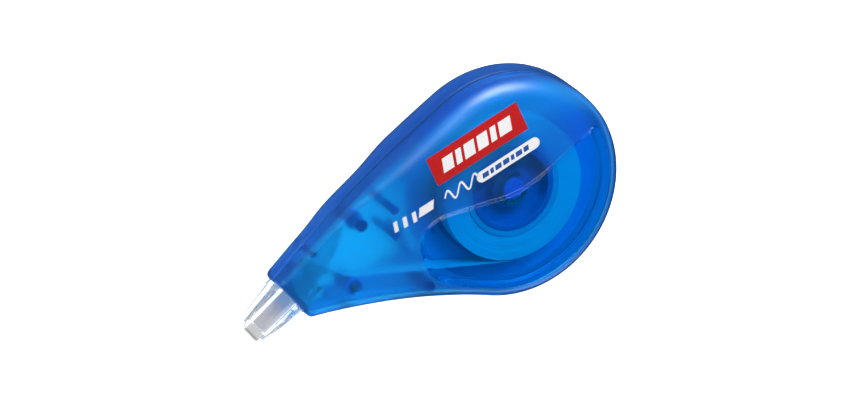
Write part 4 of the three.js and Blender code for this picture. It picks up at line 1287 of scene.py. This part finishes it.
def make_return_run():
    """Used film from the blade round the upper roller to the take-up drum."""
    film_z = box("take_up_film")[0].z + TAPE_WIDTH / 2
    upper, _ = pin_of("upper_guide_roller")
    circle = roller_circle(upper, -1)
    tip_root = np.array(at_tip(ON_BLADE_START, 0))
    root_z = TIP_Z + blade_clear(ON_BLADE_START)
    start = np.array(at_tip(RIBBON_JOIN - JOIN_GAP, 0))
    start_z = TIP_Z + blade_clear(RIBBON_JOIN - JOIN_GAP)
    _, meet_upper = tangent_between((*tip_root, 0, 1), circle)
    leave_upper, meet_drum = tangent_between(circle, reel_circle("take_up_film"))
    under_disc = leave_upper * (1 - UNDER_DISC) + meet_drum * UNDER_DISC
    film = ribbon("return_film_fine", [
        *between(start, tip_root, (start_z, root_z), (1, 1), 4),
        *between(tip_root, meet_upper, (root_z, upper.z), (1, 2), 8 * FINENESS),
        *between(leave_upper, under_disc, (upper.z, film_z), (2, 2), 5 * FINENESS),
        *between(under_disc, meet_drum, (film_z, film_z), (2, 2), 3),
        (Vector((*meet_drum, film_z)), 2),
    ])
    finish_piece(film, "case", "carrier_film", [RIBBON_FILM], ["return_film_run"])


# ---------------------------------------------------------------- prints

PRINT_GAP, PRINT_TOP = 0.006, 0.03
PRINT_SPACING = 0.5


def turn_and_place(outline_points, centre, angle, slant=0.0):
    """Leans a flat outline to the right, turns it by an angle in degrees and moves it."""
    cos, sin = math.cos(math.radians(angle)), math.sin(math.radians(angle))
    result = []
    for x, y in outline_points:
        x += slant * y
        result.append((centre[0] + x * cos - y * sin, centre[1] + x * sin + y * cos))
    return result


def rectangle(width, height):
    return [(-width / 2, -height / 2), (width / 2, -height / 2), (width / 2, height / 2),
            (-width / 2, height / 2)]


def pill(width, height, steps=10):
    radius = height / 2
    right = [(width / 2 - radius + x, y) for x, y in arc(radius, -90, 90, steps)]
    left = [(radius - width / 2 + x, y) for x, y in arc(radius, 90, 270, steps)]
    return right + left


def stroke_outline(line, width):
    """The outline of a stroke of even width along a line."""
    line = np.array(line)
    heading = np.gradient(line, axis=0)
    heading /= np.hypot(*heading.T)[:, None]
    left = np.column_stack([-heading[:, 1], heading[:, 0]]) * width / 2
    return [*(line + left), *(line - left)[::-1]]


def resample(outline_points, spacing):
    """The same closed outline with points no further apart than the spacing."""
    result = []
    for i, start in enumerate(outline_points):
        end = outline_points[(i + 1) % len(outline_points)]
        length = math.dist(start, end)
        count = max(1, math.ceil(length / spacing))
        for k in range(count):
            result.append([a + (b - a) * k / count for a, b in zip(start, end)])
    return np.array(result)


def make_print(name, outline_points, material, surface, lift=0.0):
    """A thin closed patch of ink that follows the front cover's surface."""
    edge = resample(outline_points, PRINT_SPACING)
    flat = np.vstack([edge, lattice(edge, PRINT_SPACING)])
    triangles = cap(edge, flat[len(edge):])
    heights = []
    for x, y in flat:
        hit = surface.ray_cast(Vector((x, y, 30)) * MM, Vector((0, 0, -1)))[0]
        heights.append(hit.z / MM + lift)
    heights = np.array(heights)
    low = np.column_stack([flat, heights + PRINT_GAP])
    high = np.column_stack([flat, heights + PRINT_TOP])
    count, edge_count = len(flat), len(edge)
    faces = [tuple(reversed(t)) for t in triangles]
    faces += [tuple(i + count for i in t) for t in triangles]
    for i in range(edge_count):
        beside = (i + 1) % edge_count
        faces.append((i, beside, beside + count, i + count))
    patch = mesh_object(name, np.vstack([low, high]), faces)
    return finish_piece(patch, "case", "case_plastic", [material], [])


Bars = namedtuple("Bars", "widths height start gap")
BAR_SLANT = 0.25


def make_bars(name, bars, centre, angle, material, surface):
    """A row of slanted bars on a patch of ink, from the start along the patch."""
    place = bars.start
    for i, width in enumerate(bars.widths):
        bar = rectangle(width, bars.height)
        bar = turn_and_place(bar, (place + width / 2, 0), 0, BAR_SLANT)
        bar = turn_and_place(bar, centre, angle)
        make_print(f"{name}_{i}", bar, material, surface, PRINT_TOP)
        place += width + bars.gap


def make_prints(front_cover):
    """Plain shapes in place of the printed words: a red panel with slanted white bars, a wavy
    white stroke, a white pill with blue bars, three short bars and a slanted white block."""
    surface = BVHTree.FromObject(front_cover, bpy.context.evaluated_depsgraph_get())
    panel_centre, panel_angle = (-4.4, 14.6), 3
    panel = turn_and_place(rectangle(22.6, 6.8), panel_centre, panel_angle)
    make_print("print_panel", panel, INK_RED, surface)
    bars = Bars((2.6, 1.4, 2.6, 2.6, 1.4, 3.0), 3.2, -8.6, 0.7)
    make_bars("print_panel_bar", bars, panel_centre, panel_angle, INK_WHITE, surface)

    pill_centre, pill_angle = (0.6, 7.75), 3.5
    shape = turn_and_place(pill(15.6, 2.5), pill_centre, pill_angle)
    make_print("print_pill", shape, INK_WHITE, surface)
    bars = Bars((1.5, 0.8, 1.5, 1.5, 0.8, 1.5, 1.2), 1.1, -6.4, 0.45)
    make_bars("print_pill_bar", bars, pill_centre, pill_angle, INK_BLUE, surface)

    wave_centre, wave_length, wave_height, waves = (-10.9, 7.5), 8.4, 1.2, 2.5
    shares = np.linspace(0, 1, 80)
    line = [((s - 0.5) * wave_length, wave_height * math.sin(waves * 2 * math.pi * s))
            for s in shares]
    wave = turn_and_place(stroke_outline(line, 0.4), wave_centre, pill_angle, 0.25)
    make_print("print_wave", wave, INK_WHITE, surface)

    for i in range(3):
        tick = turn_and_place(rectangle(0.95, 2.3), (-27.0 + 2.2 * i, 6.95), pill_angle, 0.2)
        make_print(f"print_tick_{i}", tick, INK_WHITE, surface)
    block = turn_and_place(rectangle(3.6, 1.9), (-19.6, 7.35), pill_angle, 0.5)
    make_print("print_block", block, INK_WHITE, surface)


# ---------------------------------------------------------------- stage

CAMERA_BACK = Vector((-0.255, 0.490, 0.834)).normalized()
CAMERA_UP = Vector((0.479, 0.813, -0.331)).normalized()
CAMERA_DISTANCE = 2.461
CAMERA_AIM = Vector((-0.0159, 0.0025, 0.0066))
FOCAL_LENGTH = 500.0
SENSOR_WIDTH = 36.0


def make_camera():
    data = bpy.data.cameras.new("camera")
    data.lens = FOCAL_LENGTH
    data.sensor_width = SENSOR_WIDTH
    data.clip_start = 0.01
    data.clip_end = 20
    camera = bpy.data.objects.new("camera", data)
    bpy.context.scene.collection.objects.link(camera)
    right = CAMERA_UP.cross(CAMERA_BACK).normalized()
    up = CAMERA_BACK.cross(right)
    turn = Matrix((right, up, CAMERA_BACK)).transposed()
    place = Matrix.Translation(CAMERA_AIM + CAMERA_BACK * CAMERA_DISTANCE)
    camera.matrix_world = place @ turn.to_4x4()
    bpy.context.scene.camera = camera


def make_lamp(name, direction, distance, size, power):
    """A square soft lamp that faces the middle of the object."""
    data = bpy.data.lights.new(name, "AREA")
    data.size = size
    data.energy = power
    lamp = bpy.data.objects.new(name, data)
    bpy.context.scene.collection.objects.link(lamp)
    direction = Vector(direction).normalized()
    lamp.location = CAMERA_AIM + direction * distance
    lamp.rotation_mode = "QUATERNION"
    lamp.rotation_quaternion = direction.to_track_quat("Z", "Y")


def make_floor():
    """A pale floor that glows a little, as a light table does."""
    size, level = 3.0, -0.00005
    corners = [(x * size, y * size, level) for x, y in ((-1, -1), (1, -1), (1, 1), (-1, 1))]
    mesh = bpy.data.meshes.new("floor")
    mesh.from_pydata(corners, [], [(0, 1, 2, 3)])
    floor = bpy.data.objects.new("floor", mesh)
    bpy.context.scene.collection.objects.link(floor)
    material, tree, shader, _ = new_material("floor_white")
    vary_colour(tree, shader, (0.56, 0.56, 0.56), (0.54, 0.54, 0.54), 400.0)
    shader.inputs["Roughness"].default_value = 0.9
    shader.inputs["Specular IOR Level"].default_value = 0.0
    shader.inputs["Emission Color"].default_value = (1, 1, 1, 1)
    shader.inputs["Emission Strength"].default_value = 1.3
    mesh.materials.append(material)
    floor.visible_glossy = False


def make_world():
    world = bpy.data.worlds.new("soft_white")
    bpy.context.scene.world = world
    world.use_nodes = True
    background = world.node_tree.nodes["Background"]
    background.inputs["Color"].default_value = (1, 1, 1, 1)
    background.inputs["Strength"].default_value = 0.1
    world.cycles_visibility.glossy = False


def make_stage():
    make_camera()
    make_floor()
    make_world()
    make_lamp("key", (0.469, 0.638, 0.611), 0.5, 0.22, 2.9)
    make_lamp("fill", (-0.6, 0.3, 0.75), 0.6, 0.4, 0.45)
    make_lamp("edge", (0.25, -0.88, 0.4), 0.5, 0.15, 0.25)
    bpy.context.scene.view_settings.view_transform = "Standard"


# ---------------------------------------------------------------- assembly

make_stage()
front_cover = make_cover("front_cover", FRONT)
make_cover("back_cover", BACK, back_tools())
make_take_up_reel()
make_supply_reel()
make_spindle()
make_spring()
make_rollers()
make_small_parts()
make_feed_run()
make_return_run()
make_prints(front_cover)
